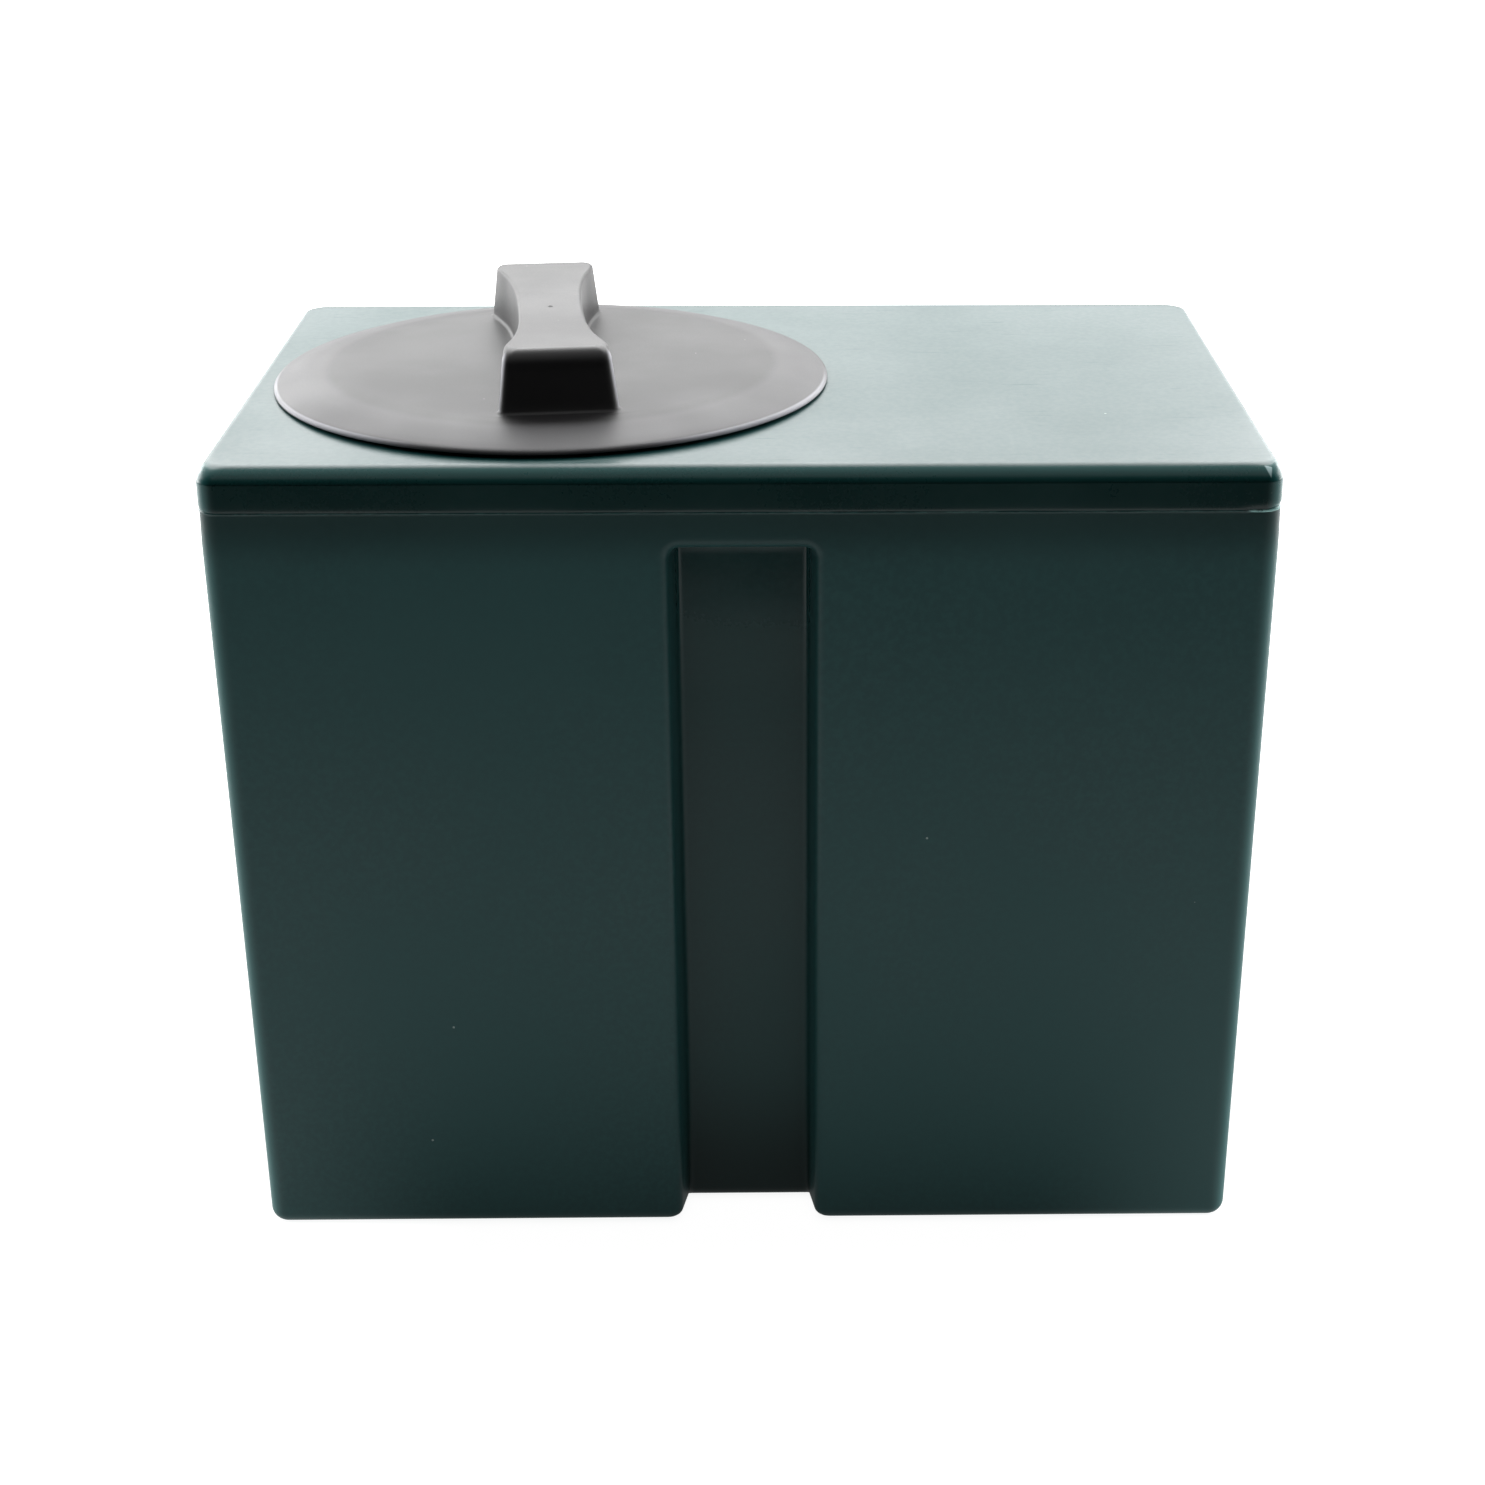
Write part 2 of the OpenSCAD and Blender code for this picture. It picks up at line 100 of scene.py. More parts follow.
def smooth_curve(x, knots, values):
    """A smooth curve through the given values, with level ends."""
    knots = np.asarray(knots, float)
    values = np.asarray(values, float)
    slopes = np.gradient(values, knots)
    slopes[0] = 0
    slopes[-1] = 0
    x = np.clip(np.asarray(x, float), knots[0], knots[-1])
    k = np.clip(np.searchsorted(knots, x) - 1, 0, len(knots) - 2)
    span = knots[k + 1] - knots[k]
    t = (x - knots[k]) / span
    return (
        values[k] * (2 * t**3 - 3 * t**2 + 1)
        + slopes[k] * span * (t**3 - 2 * t**2 + t)
        + values[k + 1] * (3 * t**2 - 2 * t**3)
        + slopes[k + 1] * span * (t**3 - t**2)
    )


def smooth_step(x):
    """0 up to x = 0, 1 from x = 1, and a smooth rise between."""
    t = np.clip(x, 0, 1)
    return t * t * (3 - 2 * t)


def bump_at(x, middle, reach):
    """1 at the middle, falling smoothly to 0 at the reach on either side."""
    return smooth_step(1 - np.abs(x - middle) / reach)


def close_ends(count, tightness=0.6):
    """Fractions from 0 to 1 that lie closer together towards both ends."""
    t = np.linspace(0, 1, count + 1)
    return t - tightness * np.sin(2 * math.pi * t) / (2 * math.pi)


def wave(points, size):
    """Smooth noise from 0 to 1 at each point."""
    return np.array([0.5 + 0.5 * noise.noise(Vector(p) / size) for p in points])


def line_wave(lengths, size, seed):
    """Smooth noise from -1 to 1 along a line."""
    return np.array([noise.noise(Vector((s / size, seed, 0.5))) for s in lengths])


class Shell:
    """A closed solid built from rings of points, each ring counter-clockwise seen from above."""

    def __init__(self):
        self.points = []
        self.faces = []

    def ring(self, xyz):
        first = len(self.points)
        self.points.extend(tuple(p) for p in xyz)
        return list(range(first, len(self.points)))

    def bridge(self, low, high):
        """Quads between two rings of equal length."""
        count = len(low)
        for j in range(count):
            k = (j + 1) % count
            self.faces.append((low[j], low[k], high[k], high[j]))

    def cap(self, ring, across, along, faces_up, height=None):
        """Closes a ring with a grid. The ring has across points in its front run, along in its
        right run, and the same again in its back and left runs."""
        total = len(ring)
        outer = [np.array(self.points[i]) for i in ring]

        def fractions(run):
            """How far along its own length each point of a run lies, from 0 to 1."""
            steps = [np.linalg.norm(outer[k] - outer[j]) for j, k in zip(run, run[1:])]
            return np.concatenate([[0], np.cumsum(steps)]) / sum(steps)

        front_run = list(range(across + 1))
        right_run = [across + b for b in range(along + 1)]
        back_run = [2 * across + along - a for a in range(across + 1)]
        left_run = [(total - b) % total for b in range(along + 1)]
        front_part, back_part = fractions(front_run), fractions(back_run)
        left_part, right_part = fractions(left_run), fractions(right_run)
        numbers = {}
        for a in range(across + 1):
            for b in range(along + 1):
                if b == 0:
                    numbers[a, b] = ring[a]
                elif a == across:
                    numbers[a, b] = ring[across + b]
                elif b == along:
                    numbers[a, b] = ring[2 * across + along - a]
                elif a == 0:
                    numbers[a, b] = ring[total - b]
                else:
                    v = (left_part[b] + right_part[b]) / 2
                    u = front_part[a] * (1 - v) + back_part[a] * v
                    v = left_part[b] * (1 - u) + right_part[b] * u
                    front = outer[front_run[a]]
                    back = outer[back_run[a]]
                    left = outer[left_run[b]]
                    right = outer[right_run[b]]
                    corners = (
                        (1 - u) * (1 - v) * outer[0]
                        + u * (1 - v) * outer[across]
                        + u * v * outer[across + along]
                        + (1 - u) * v * outer[2 * across + along]
                    )
                    point = (1 - v) * front + v * back + (1 - u) * left + u * right - corners
                    if height is not None:
                        point[2] = height(point[0], point[1])
                    numbers[a, b] = len(self.points)
                    self.points.append(tuple(point))
        for a in range(across):
            for b in range(along):
                quad = [numbers[a, b], numbers[a, b + 1], numbers[a + 1, b + 1], numbers[a + 1, b]]
                self.faces.append(tuple(reversed(quad)) if faces_up else tuple(quad))


def make_piece(name, shell, sharp_angle=40):
    """A Blender object from a shell in millimetres."""
    mesh = bpy.data.meshes.new(name)
    mesh.from_pydata([tuple(c * MM for c in p) for p in shell.points], [], shell.faces)
    mesh.validate()
    mesh.shade_smooth()
    mesh.set_sharp_from_angle(angle=math.radians(sharp_angle))
    piece = bpy.data.objects.new(name, mesh)
    bpy.context.scene.collection.objects.link(piece)
    return piece


def lathe(name, profile, centre, axis, steps):
    """A turned piece: profile is (radius, distance along the axis) pairs, closed on itself."""
    turn = Vector((0, 0, 1)).rotation_difference(Vector(axis)).to_matrix()
    shell = Shell()
    rings = []
    for radius, reach in profile:
        points = []
        for k in range(steps):
            angle = 2 * math.pi * k / steps
            local = Vector((radius * math.cos(angle), radius * math.sin(angle), reach))
            points.append(turn @ local + Vector(centre))
        rings.append(shell.ring(points))
    for low, high in zip(rings, rings[1:] + rings[:1]):
        shell.bridge(low, high)
    return make_piece(name, shell)


# ---- the tank ----

# steps round the tank's outline
ARC = 5                  # in half a corner
PANEL = 52               # across each front panel
GROOVE_FLOOR = 6
SIDE = 48
CONVEX = 7               # round the groove's outer edge, down its wall and round its foot
SLOPE = 3
CONCAVE = 6


def groove_profile(convex_r, concave_r):
    """(distance in from the groove's sharp edge, depth) down one wall of the groove."""
    run = GROOVE_HALF - GROOVE_FLOOR_HALF
    angle = math.atan2(GROOVE_DEPTH, run)
    tangent = math.tan(angle / 2)
    start = convex_r * tangent
    end = concave_r * tangent
    points = []
    for k in range(CONVEX + 1):
        t = angle * k / CONVEX
        points.append((-start + convex_r * math.sin(t), convex_r * (1 - math.cos(t))))
    upper = np.array(points[-1])
    lower = np.array([run - end * math.cos(angle), GROOVE_DEPTH - end * math.sin(angle)])
    for k in range(1, SLOPE):
        points.append(tuple(upper + (lower - upper) * k / SLOPE))
    for k in range(CONCAVE + 1):
        t = angle * (1 - k / CONCAVE)
        points.append(
            (run + end - concave_r * math.sin(t), GROOVE_DEPTH - concave_r * (1 - math.cos(t)))
        )
    return np.array(points)


class TankSkin:
    """The outer or the inner surface of the tank's walls, as rings of one set of stations."""

    def __init__(self, inset, convex_r, concave_r):
        self.half_w = HALF_W - inset
        self.half_d = HALF_D - inset
        self.corner = CORNER_R - inset
        self.groove_half = GROOVE_HALF + inset
        self.groove_top = GROOVE_TOP + inset
        self.profile = groove_profile(convex_r, concave_r)
        self.wall_steps = len(self.profile) - 1
        self.across = 2 * (ARC + PANEL + self.wall_steps) + GROOVE_FLOOR
        self.along = 2 * ARC + SIDE

    def depth(self, inside, z):
        """Depth of the groove at points this far inside its side edge, at height z."""
        below = self.groove_top - z
        r = GROOVE_PLAN_R
        corner = r - np.hypot(np.maximum(r - inside, 0), max(r - below, 0))
        distance = np.where((inside < r) & (below < r), corner, np.minimum(inside, below))
        return np.interp(distance, self.profile[:, 0], self.profile[:, 1])

    def ring(self, z, shrink=0.0):
        """The outline at height z, moved in by shrink all round, and its outward directions."""
        radius = max(self.corner - shrink, 0.3)
        mid_x = self.half_w - self.corner
        mid_y = self.half_d - self.corner
        front = -self.half_d + shrink
        points, normals = [], []

        def arc(cx, cy, start, steps):
            for k in range(steps):
                angle = math.radians(start + 45.0 * k / ARC)
                direction = (math.cos(angle), math.sin(angle))
                points.append((cx + radius * direction[0], cy + radius * direction[1]))
                normals.append(direction)

        def straight(a, b, fractions, normal):
            for f in fractions:
                points.append((a[0] + (b[0] - a[0]) * f, a[1] + (b[1] - a[1]) * f))
                normals.append(normal)

        inside = self.profile[:, 0]
        edge = self.groove_half + shrink
        arc(-mid_x, -mid_y, 225, ARC)
        start = (-mid_x, front)
        straight(start, (-(edge - inside[0]), front), close_ends(PANEL)[:-1], (0, -1))
        wall = edge - inside
        floor = np.linspace(-wall[-1], wall[-1], GROOVE_FLOOR + 1)[1:-1]
        across = np.concatenate([-wall, floor, wall[::-1]])
        points.extend(zip(across, front + self.depth(edge - np.abs(across), z)))
        normals.extend([(0, -1)] * len(across))
        straight((edge - inside[0], front), (mid_x, front), close_ends(PANEL)[1:-1], (0, -1))
        arc(mid_x, -mid_y, 270, 2 * ARC)
        side = self.half_w - shrink
        straight((side, -mid_y), (side, mid_y), close_ends(SIDE)[:-1], (1, 0))
        arc(mid_x, mid_y, 0, 2 * ARC)
        back = self.half_d - shrink
        straight((mid_x, back), (-mid_x, back), close_ends(self.across - 2 * ARC)[:-1], (0, 1))
        arc(-mid_x, mid_y, 90, 2 * ARC)
        straight((-side, mid_y), (-side, -mid_y), close_ends(SIDE)[:-1], (-1, 0))
        arc(-mid_x, -mid_y, 180, ARC)
        flat = np.array(points)
        return np.column_stack([flat, np.full(len(flat), z)]), np.array(normals)


def parting_line(points, lengths, z):
    """How far the surface stands proud near the parting line, at height z."""
    up = z - PARTING
    if not -1.0 < up < 8.0:
        return np.zeros(len(points))
    flash = 0.2 + 0.16 * line_wave(lengths, 9, 1.5) + 0.12 * line_wave(lengths, 2.6, 4.5)
    recess = 0.05 + 0.05 * line_wave(lengths, 38, 7.5) + 0.03 * line_wave(lengths, 7, 9.5)
    at_front = points[:, 1] < -HALF_D + CORNER_R
    torn = bump_at(points[:, 0], TORN_X, 10) * at_front
    notch = bump_at(points[:, 0], NOTCH_X, 6) * (points[:, 1] < -HALF_D + 2 * CORNER_R)
    nick = bump_at(points[:, 0], NICK_X, 5) * at_front
    flash = np.clip(flash, 0.04, None) + 0.35 * torn + 0.2 * nick
    recess = np.clip(recess, 0.02, None) + 0.25 * torn + 0.8 * notch + 0.2 * nick
    ridge = max(0.0, 1 - abs(up) / 0.45)
    hollow = float(smooth_curve(up, [-0.1, 0.5, 1.0, 1.8, 3.0], [0, 1, 0.8, 0.3, 0]))
    return flash * ridge - recess * hollow


def tank_piece():
    """The whole tank skin: up the outside, over the deck and collar, and down the inside."""
    outer = TankSkin(0.0, convex_r=4.0, concave_r=3.0)
    inner = TankSkin(WALL, convex_r=1.0, concave_r=7.0)
    shell = Shell()
    rings = []

    lengths = np.concatenate(
        [[0], np.cumsum(np.hypot(*np.diff(outer.ring(150.0)[0][:, :2], axis=0).T))]
    )

    rows = [(BASE_R * (1 - math.cos(t)), BASE_R * (1 - math.sin(t)))
            for t in np.linspace(0, math.pi / 2, 9)]
    groove_rows = sorted(outer.groove_top - s for s in outer.profile[:, 0])
    lower = [BASE_R + (groove_rows[0] - BASE_R) * f for f in close_ends(40)[1:-1]]
    near_parting = [-4, -2, -1, -0.45, -0.2, 0, 0.2, 0.45, 0.8, 1.2, 1.8, 2.6, 3.8, 5.5, 8, 11]
    heights = lower + groove_rows + [groove_rows[-1] + 1.2]
    heights += [PARTING + up for up in near_parting]
    rows += [(z, 0.0) for z in heights]
    rows += [(TOP - TOP_R * (1 - math.sin(t)), TOP_R * (1 - math.cos(t)))
             for t in np.linspace(0, math.pi / 2, 9)]

    for z, shrink in rows:
        points, normals = outer.ring(z, shrink)
        waves = WAVE_DEPTH * wave(points, WAVE_SIZE) * min(z / 30, 1)
        lean = BAND_LEAN * smooth_step((z - PARTING) / 13)
        sunk = LINE_BACK * bump_at(z, PARTING, 16 if z < PARTING else 1)
        taper = TAPER * (1 - min(z / PARTING, 1))
        proud = parting_line(points, lengths, z) - waves - lean - sunk - taper - SKIN_BACK
        points[:, :2] += normals * np.minimum(proud, 0)[:, None]
        if z > TOP - TOP_R:
            side_shrink = shrink * SIDE_TOP_R / TOP_R
            points[:, 0] *= (HALF_W - side_shrink) / (HALF_W - shrink)
            hold_corners(points, HALF_W - side_shrink, HALF_D - shrink, CORNER_R + shrink / 3)
        rings.append(shell.ring(chip_corner(points)))

    edge = np.array([shell.points[i] for i in rings[-1]])
    angles = np.arctan2(edge[:, 1] - LID_Y, edge[:, 0] - LID_X)

    def circle(radius, z):
        return np.column_stack([
            LID_X + radius * np.cos(angles),
            LID_Y + radius * np.sin(angles),
            np.full(len(angles), z),
        ])

    foot = circle(COLLAR_R + 2.5, TOP)
    for f in close_ends(18, 0.5)[1:]:
        points = edge + (foot - edge) * f
        dip = 0.35 * wave(points, 110.0) * math.sin(math.pi * min(f * 1.4, 0.5))
        points[:, 2] = TOP - dip
        rings.append(shell.ring(points))
    for t in np.linspace(0.3, math.pi / 2, 4):
        radius = COLLAR_R + 2.2 * (1 - math.sin(t))
        rings.append(shell.ring(circle(radius, TOP - 0.3 + 2.2 * (1 - math.cos(t)))))
    collar_top = TOP + COLLAR_H
    for radius, z in [(COLLAR_R, collar_top - 0.6), (COLLAR_R - 0.2, collar_top - 0.2),
                      (COLLAR_R - 0.6, collar_top), (NECK_R + 0.6, collar_top),
                      (NECK_R + 0.2, collar_top - 0.2), (NECK_R, collar_top - 0.6),
                      (NECK_R, TOP), (NECK_R, TOP - WALL + 0.6), (NECK_R + 0.2, TOP - WALL + 0.2),
                      (NECK_R + 0.6, TOP - WALL)]:
        rings.append(shell.ring(circle(radius, z)))

    ceiling = TOP - WALL
    inner_top_r = 2.5
    rim, _ = inner.ring(ceiling, inner_top_r)
    hole = circle(NECK_R + 0.6, ceiling)
    for f in close_ends(14, 0.4)[1:]:
        rings.append(shell.ring(hole + (rim - hole) * f))
    for t in np.linspace(0, math.pi / 2, 5)[1:]:
        shrink = inner_top_r * (1 - math.sin(t))
        points, _ = inner.ring(ceiling - inner_top_r * (1 - math.cos(t)), shrink)
        rings.append(shell.ring(points))
    inner_base_r = 3.5
    inner_groove = sorted((inner.groove_top - s for s in inner.profile[:, 0]), reverse=True)
    fall = [inner_groove[-1] + (WALL + inner_base_r - inner_groove[-1]) * f
            for f in close_ends(26)[1:]]
    for z in [inner_groove[0] + 4] + inner_groove + fall:
        points, _ = inner.ring(z)
        rings.append(shell.ring(points))
    for t in np.linspace(0, math.pi / 2, 5)[1:]:
        shrink = inner_base_r * (1 - math.cos(t))
        points, _ = inner.ring(WALL + inner_base_r * (1 - math.sin(t)), shrink)
        rings.append(shell.ring(points))

    for low, high in zip(rings, rings[1:]):
        shell.bridge(low, high)
    shell.cap(rings[0], outer.across, outer.along, faces_up=False)
    shell.cap(rings[-1], outer.across, outer.along, faces_up=True)
    return make_piece("tank_moulding", shell)


def hold_corners(points, half_w, half_d, r):
    """Pulls points that lie beyond upright corners of this radius back onto them."""
    reach = np.abs(points[:, :2])
    past = np.maximum(reach - np.array([half_w - r, half_d - r]), 0)
    share = np.minimum(r / np.maximum(np.hypot(past[:, 0], past[:, 1]), 1e-6), 1)
    points[:, :2] = np.sign(points[:, :2]) * (reach - past * (1 - share)[:, None])


def chip_corner(points):
    """Takes the small chip off the upper front right corner."""
    normal = np.array(CHIP_FACING)
    normal /= np.linalg.norm(normal)
    corner = np.array([HALF_W - CHIP_BACK, -HALF_D + CHIP_DROP, TOP - CHIP_DROP])
    past = (points - corner) @ normal
    return points - np.maximum(past, 0)[:, None] * normal


def cut_round_hole(piece, centre, radius, length):
    """Cuts a round hole along Y through a piece."""
    middle, half = Vector(centre), length / 2
    tool = Shell()
    low = tool.ring([(middle.x + radius * math.cos(a), middle.y - half,
                      middle.z - radius * math.sin(a)) for a in circle_angles(72)])
    high = tool.ring([(x, middle.y + half, z) for x, y, z in tool.points])
    tool.bridge(low, high)
    tool.faces.append(tuple(reversed(low)))
    tool.faces.append(tuple(high))
    cutter = make_piece("cutter", tool)
    cut = piece.modifiers.new("cut", "BOOLEAN")
    cut.operation = "DIFFERENCE"
    cut.solver = "EXACT"
    cut.object = cutter
    evaluated = piece.evaluated_get(bpy.context.evaluated_depsgraph_get())
    mesh = bpy.data.meshes.new_from_object(evaluated)
    piece.modifiers.clear()
    old = piece.data
    piece.data = mesh
    bpy.data.meshes.remove(old)
    bpy.data.objects.remove(cutter)
    mesh.shade_smooth()
    mesh.set_sharp_from_angle(angle=math.radians(40))


def circle_angles(steps):
    return [2 * math.pi * k / steps for k in range(steps)]


tank = tank_piece()
for node, hole_r in (("inlet_outer_washer", INLET_HOLE_R), ("outlet_outer_washer", OUTLET_HOLE_R)):
    low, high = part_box(node)
    middle = (low + high) / 2 / MM
    cut_round_hole(tank, (middle.x, HALF_D - WALL / 2, middle.z), hole_r, 4 * WALL)
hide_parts("tank_shell")
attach(tank, "tank")


# ---- the lid and its handle ----

# steps along a quarter of the handle's outline
HANDLE_SIDE = 34
HANDLE_CORNER = 6
HANDLE_END = 6
HANDLE_QUARTER = HANDLE_SIDE + HANDLE_CORNER + HANDLE_END
HANDLE_TOP_L = 72.8
HANDLE_FOOT_L = 79.0
HANDLE_EDGE_R = 4.0      # of the upright edges
HANDLE_SIDE_R = 1.5      # of the top edge along the sides, at the front end and at the back end
HANDLE_FRONT_R = 6.2
HANDLE_BACK_R = 2.8
HANDLE_FOOT_R = 1.3
HANDLE_DIP = 1.3         # how far the handle's top is lower in the middle than at the ends
HANDLE_WALL = 3.0
HANDLE_STATIONS = [0, 0.17, 0.42, 0.67, 0.86, 0.94, 1.0]    # from its middle to its ends
HANDLE_TOP_HALF_W = [12.8, 12.9, 13.8, 16.3, 19.5, 20.2, 20.4]
HANDLE_FOOT_HALF_W = [14.0, 14.1, 14.8, 17.1, 20.9, 22.8, 24.0]
RIM_DROOP = 1.05         # how far the lid's edge hangs lower at the sides and the back
PLATE = 7.4              # height of the lid's plate above the tank's top
PLATE_WALL = 2.0
SKIRT_IN_R = 91.5
SKIRT_OUT_R = 93.5
SKIRT_END = -14
HANDLE_RISE = lid_high.z / MM - TOP


def handle_top_height(y):
    """Height of the handle's top above the tank: level in the middle, rising to the ends."""
    level = HANDLE_RISE - HANDLE_DIP
    reach = np.abs(y)
    rise = np.interp(reach, [0, 22, 24.5, 66, 72], [0, 0, 0.12, 1.25, HANDLE_DIP])
    return level + rise


def handle_outline(t, inset=0.0, flare=0.0):
    """The handle's outline, t of the way from its foot to its top, and its outward directions."""
    half_l = HANDLE_FOOT_L + (HANDLE_TOP_L - HANDLE_FOOT_L) * t - inset
    top = np.array(HANDLE_TOP_HALF_W)
    foot = np.array(HANDLE_FOOT_HALF_W)
    width = foot + (top - foot) * t - inset
    r = max(HANDLE_EDGE_R - inset * 0.5, 0.8)
    quarter = []
    for f in close_ends(HANDLE_SIDE, 0.3):
        y = (half_l - r) * f
        quarter.append((float(smooth_curve(y / half_l, HANDLE_STATIONS, width)), y))
    end_w = quarter[-1][0]
    for k in range(1, HANDLE_CORNER + 1):
        a = math.pi / 2 * k / HANDLE_CORNER
        quarter.append((end_w - r + r * math.cos(a), half_l - r + r * math.sin(a)))
    for k in range(1, HANDLE_END + 1):
        quarter.append(((end_w - r) * (1 - k / HANDLE_END), half_l))
    quarter = quarter[::-1]
    right_back = np.array(quarter[::-1])
    left_back = np.array([(-x, y) for x, y in quarter])
    left_front = np.array([(-x, -y) for x, y in quarter[::-1]])
    right_front = np.array([(x, -y) for x, y in quarter])
    outline = np.concatenate([right_back[:-1], left_back[:-1], left_front[:-1], right_front[:-1]])
    tangent = np.roll(outline, -1, axis=0) - np.roll(outline, 1, axis=0)
    tangent /= np.linalg.norm(tangent, axis=1)[:, None]
    normals = np.column_stack([tangent[:, 1], -tangent[:, 0]])
    return outline + normals * flare, normals


def start_at_front(points):
    """Turns a ring that starts at +X so that it starts in the middle of its front left corner."""
    start = 2 * HANDLE_QUARTER + HANDLE_SIDE + HANDLE_CORNER // 2
    return np.roll(points, -start, axis=0)


def lid_piece():
    """The whole lid: inside the handle, under the plate, round the skirt and edge, over the top."""
    count = 4 * HANDLE_QUARTER
    angles = np.array(circle_angles(count))
    unit = np.column_stack([np.cos(angles), np.sin(angles)])
    droop = smooth_step((np.sin(angles) + 0.92) / 0.75)
    shell = Shell()
    rings = []
    turn = np.array([[math.cos(HANDLE_TURN), math.sin(HANDLE_TURN)],
                     [-math.sin(HANDLE_TURN), math.cos(HANDLE_TURN)]])

    def add(flat, z):
        """Adds a ring given about the lid's own middle, at a height above the tank's top."""
        z = z - RIM_DROOP * droop * smooth_step((np.hypot(flat[:, 0], flat[:, 1]) - 100) / 9)
        placed = start_at_front(np.column_stack([flat, z]))
        placed[:, :2] = placed[:, :2] @ turn + np.array([LID_X, LID_Y])
        placed[:, 2] += TOP
        rings.append(shell.ring(placed))

    # inside the handle and under the plate
    under = PLATE - PLATE_WALL
    ceiling = handle_top_height(0) - HANDLE_WALL
    for t, z in [(0.93, ceiling), (0.90, ceiling - 0.7), (0.6, 20.0), (0.3, 12.0),
                 (0.05, under + 0.8)]:
        add(handle_outline(t, inset=HANDLE_WALL)[0], z)
    hollow, _ = handle_outline(0.0, inset=HANDLE_WALL, flare=0.6)
    add(hollow, under)
    for f in close_ends(8, 0.3)[1:]:
        add(hollow + (unit * (SKIRT_IN_R - 0.8) - hollow) * f, under)
    for radius, z in [(SKIRT_IN_R, under - 0.8), (SKIRT_IN_R, 0), (SKIRT_IN_R, SKIRT_END / 2),
                      (SKIRT_IN_R, SKIRT_END + 0.4), (SKIRT_IN_R + 0.4, SKIRT_END),
                      (SKIRT_OUT_R - 0.4, SKIRT_END), (SKIRT_OUT_R, SKIRT_END + 0.4),
                      (SKIRT_OUT_R, SKIRT_END / 2), (SKIRT_OUT_R, 0), (SKIRT_OUT_R, 3.0),
                      (SKIRT_OUT_R + 0.5, 3.5), (101, 3.5), (106, 2.45), (111.2, 1.2),
                      (111.7, 1.3), (LID_R, 1.5), (LID_R, 1.8), (111.9, 2.15),
                      (111.65, 2.5), (111.25, 2.8), (110.7, 3.05), (110, 3.28)]:
        add(unit * radius, z)

    # the sloping rim up to its crest, then the nearly flat plate
    crest = [(109, 3.55), (105, 4.4), (101, 5.15), (98, 5.7), (95, 6.22), (92.5, 6.58),
             (90, 6.88), (88, 7.06), (86, 7.18), (84.5, 7.24)]
    wobble = 0.08 * np.sin(2 * angles + 0.7)
    for radius, z in crest:
        add(unit * radius, z + wobble * smooth_step((112 - radius) / 12))
    foot, _ = handle_outline(0.0, flare=HANDLE_FOOT_R)
    plate = unit * crest[-1][0]
    for f in close_ends(14, 0.3)[1:]:
        add(plate + (foot - plate) * f,
            crest[-1][1] + 0.12 * math.sin(math.pi / 2 * f) + wobble * (1 - f))

    # the handle's foot fillet, sides and rounded top edge
    foot_line, _ = handle_outline(0.0)
    top_line, _ = handle_outline(1.0)
    tall = HANDLE_RISE - PLATE
    for k in range(1, 5):
        a = math.pi / 2 * k / 4
        up = HANDLE_FOOT_R * (1 - math.cos(a))
        flared, _ = handle_outline(up / tall, flare=HANDLE_FOOT_R * (1 - math.sin(a)))
        add(flared, PLATE - 0.04 + up)
    at_end = smooth_step((np.abs(top_line[:, 1]) - (HANDLE_TOP_L - 10)) / 9)
    in_front = top_line[:, 1] < 0
    end_r = np.where(in_front, HANDLE_FRONT_R, HANDLE_BACK_R)
    edge_r = HANDLE_SIDE_R + (end_r - HANDLE_SIDE_R) * at_end
    top_z = handle_top_height(top_line[:, 1])
    start_z = PLATE - 0.04 + HANDLE_FOOT_R
    sides_end = top_z - edge_r
    for f in np.linspace(0, 1, 10)[1:]:
        z = start_z + (sides_end - start_z) * f
        add(foot_line + (top_line - foot_line) * ((z - PLATE) / tall)[:, None], z)
    shoulder = foot_line + (top_line - foot_line) * ((sides_end - PLATE) / tall)[:, None]
    for k in range(1, 8):
        a = math.pi / 2 * k / 7
        along_sides, _ = handle_outline(1.0, inset=HANDLE_SIDE_R * (1 - math.cos(a)))
        front_end, _ = handle_outline(1.0, inset=HANDLE_FRONT_R * (1 - math.cos(a)))
        back_end, _ = handle_outline(1.0, inset=HANDLE_BACK_R * (1 - math.cos(a)))
        round_ends = np.where(in_front[:, None], front_end, back_end)
        moved_in = along_sides + (round_ends - along_sides) * at_end[:, None] - top_line
        add(shoulder + moved_in, sides_end + edge_r * math.sin(a))

    for low, high in zip(rings, rings[1:]):
        shell.bridge(low, high)

    across = 2 * HANDLE_END + 2 * (HANDLE_CORNER // 2)
    along = 2 * HANDLE_SIDE + 2 * (HANDLE_CORNER // 2)

    def top_height(x, y):
        along_handle = (x - LID_X) * -math.sin(HANDLE_TURN) + (y - LID_Y) * math.cos(HANDLE_TURN)
        return TOP + float(handle_top_height(along_handle))

    shell.cap(rings[0], across, along, faces_up=False)
    shell.cap(rings[-1], across, along, faces_up=True, height=top_height)
    return make_piece("lid_moulding", shell, 50)


lid = lid_piece()
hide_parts("lid")
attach(lid, "lid")

gate_z = TOP + float(handle_top_height(0))
gate = lathe(
    "handle_gate_mark",
    [(0.12, -0.4), (1.05, -0.4), (1.05, 0.12), (0.85, 0.2), (0.6, 0.16), (0.45, 0.02), (0.12, 0.0)],
    (LID_X, LID_Y, gate_z), (0, 0, 1), steps=28,
)
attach(gate, "lid")


# ---- the thread on the free end of the inlet ----

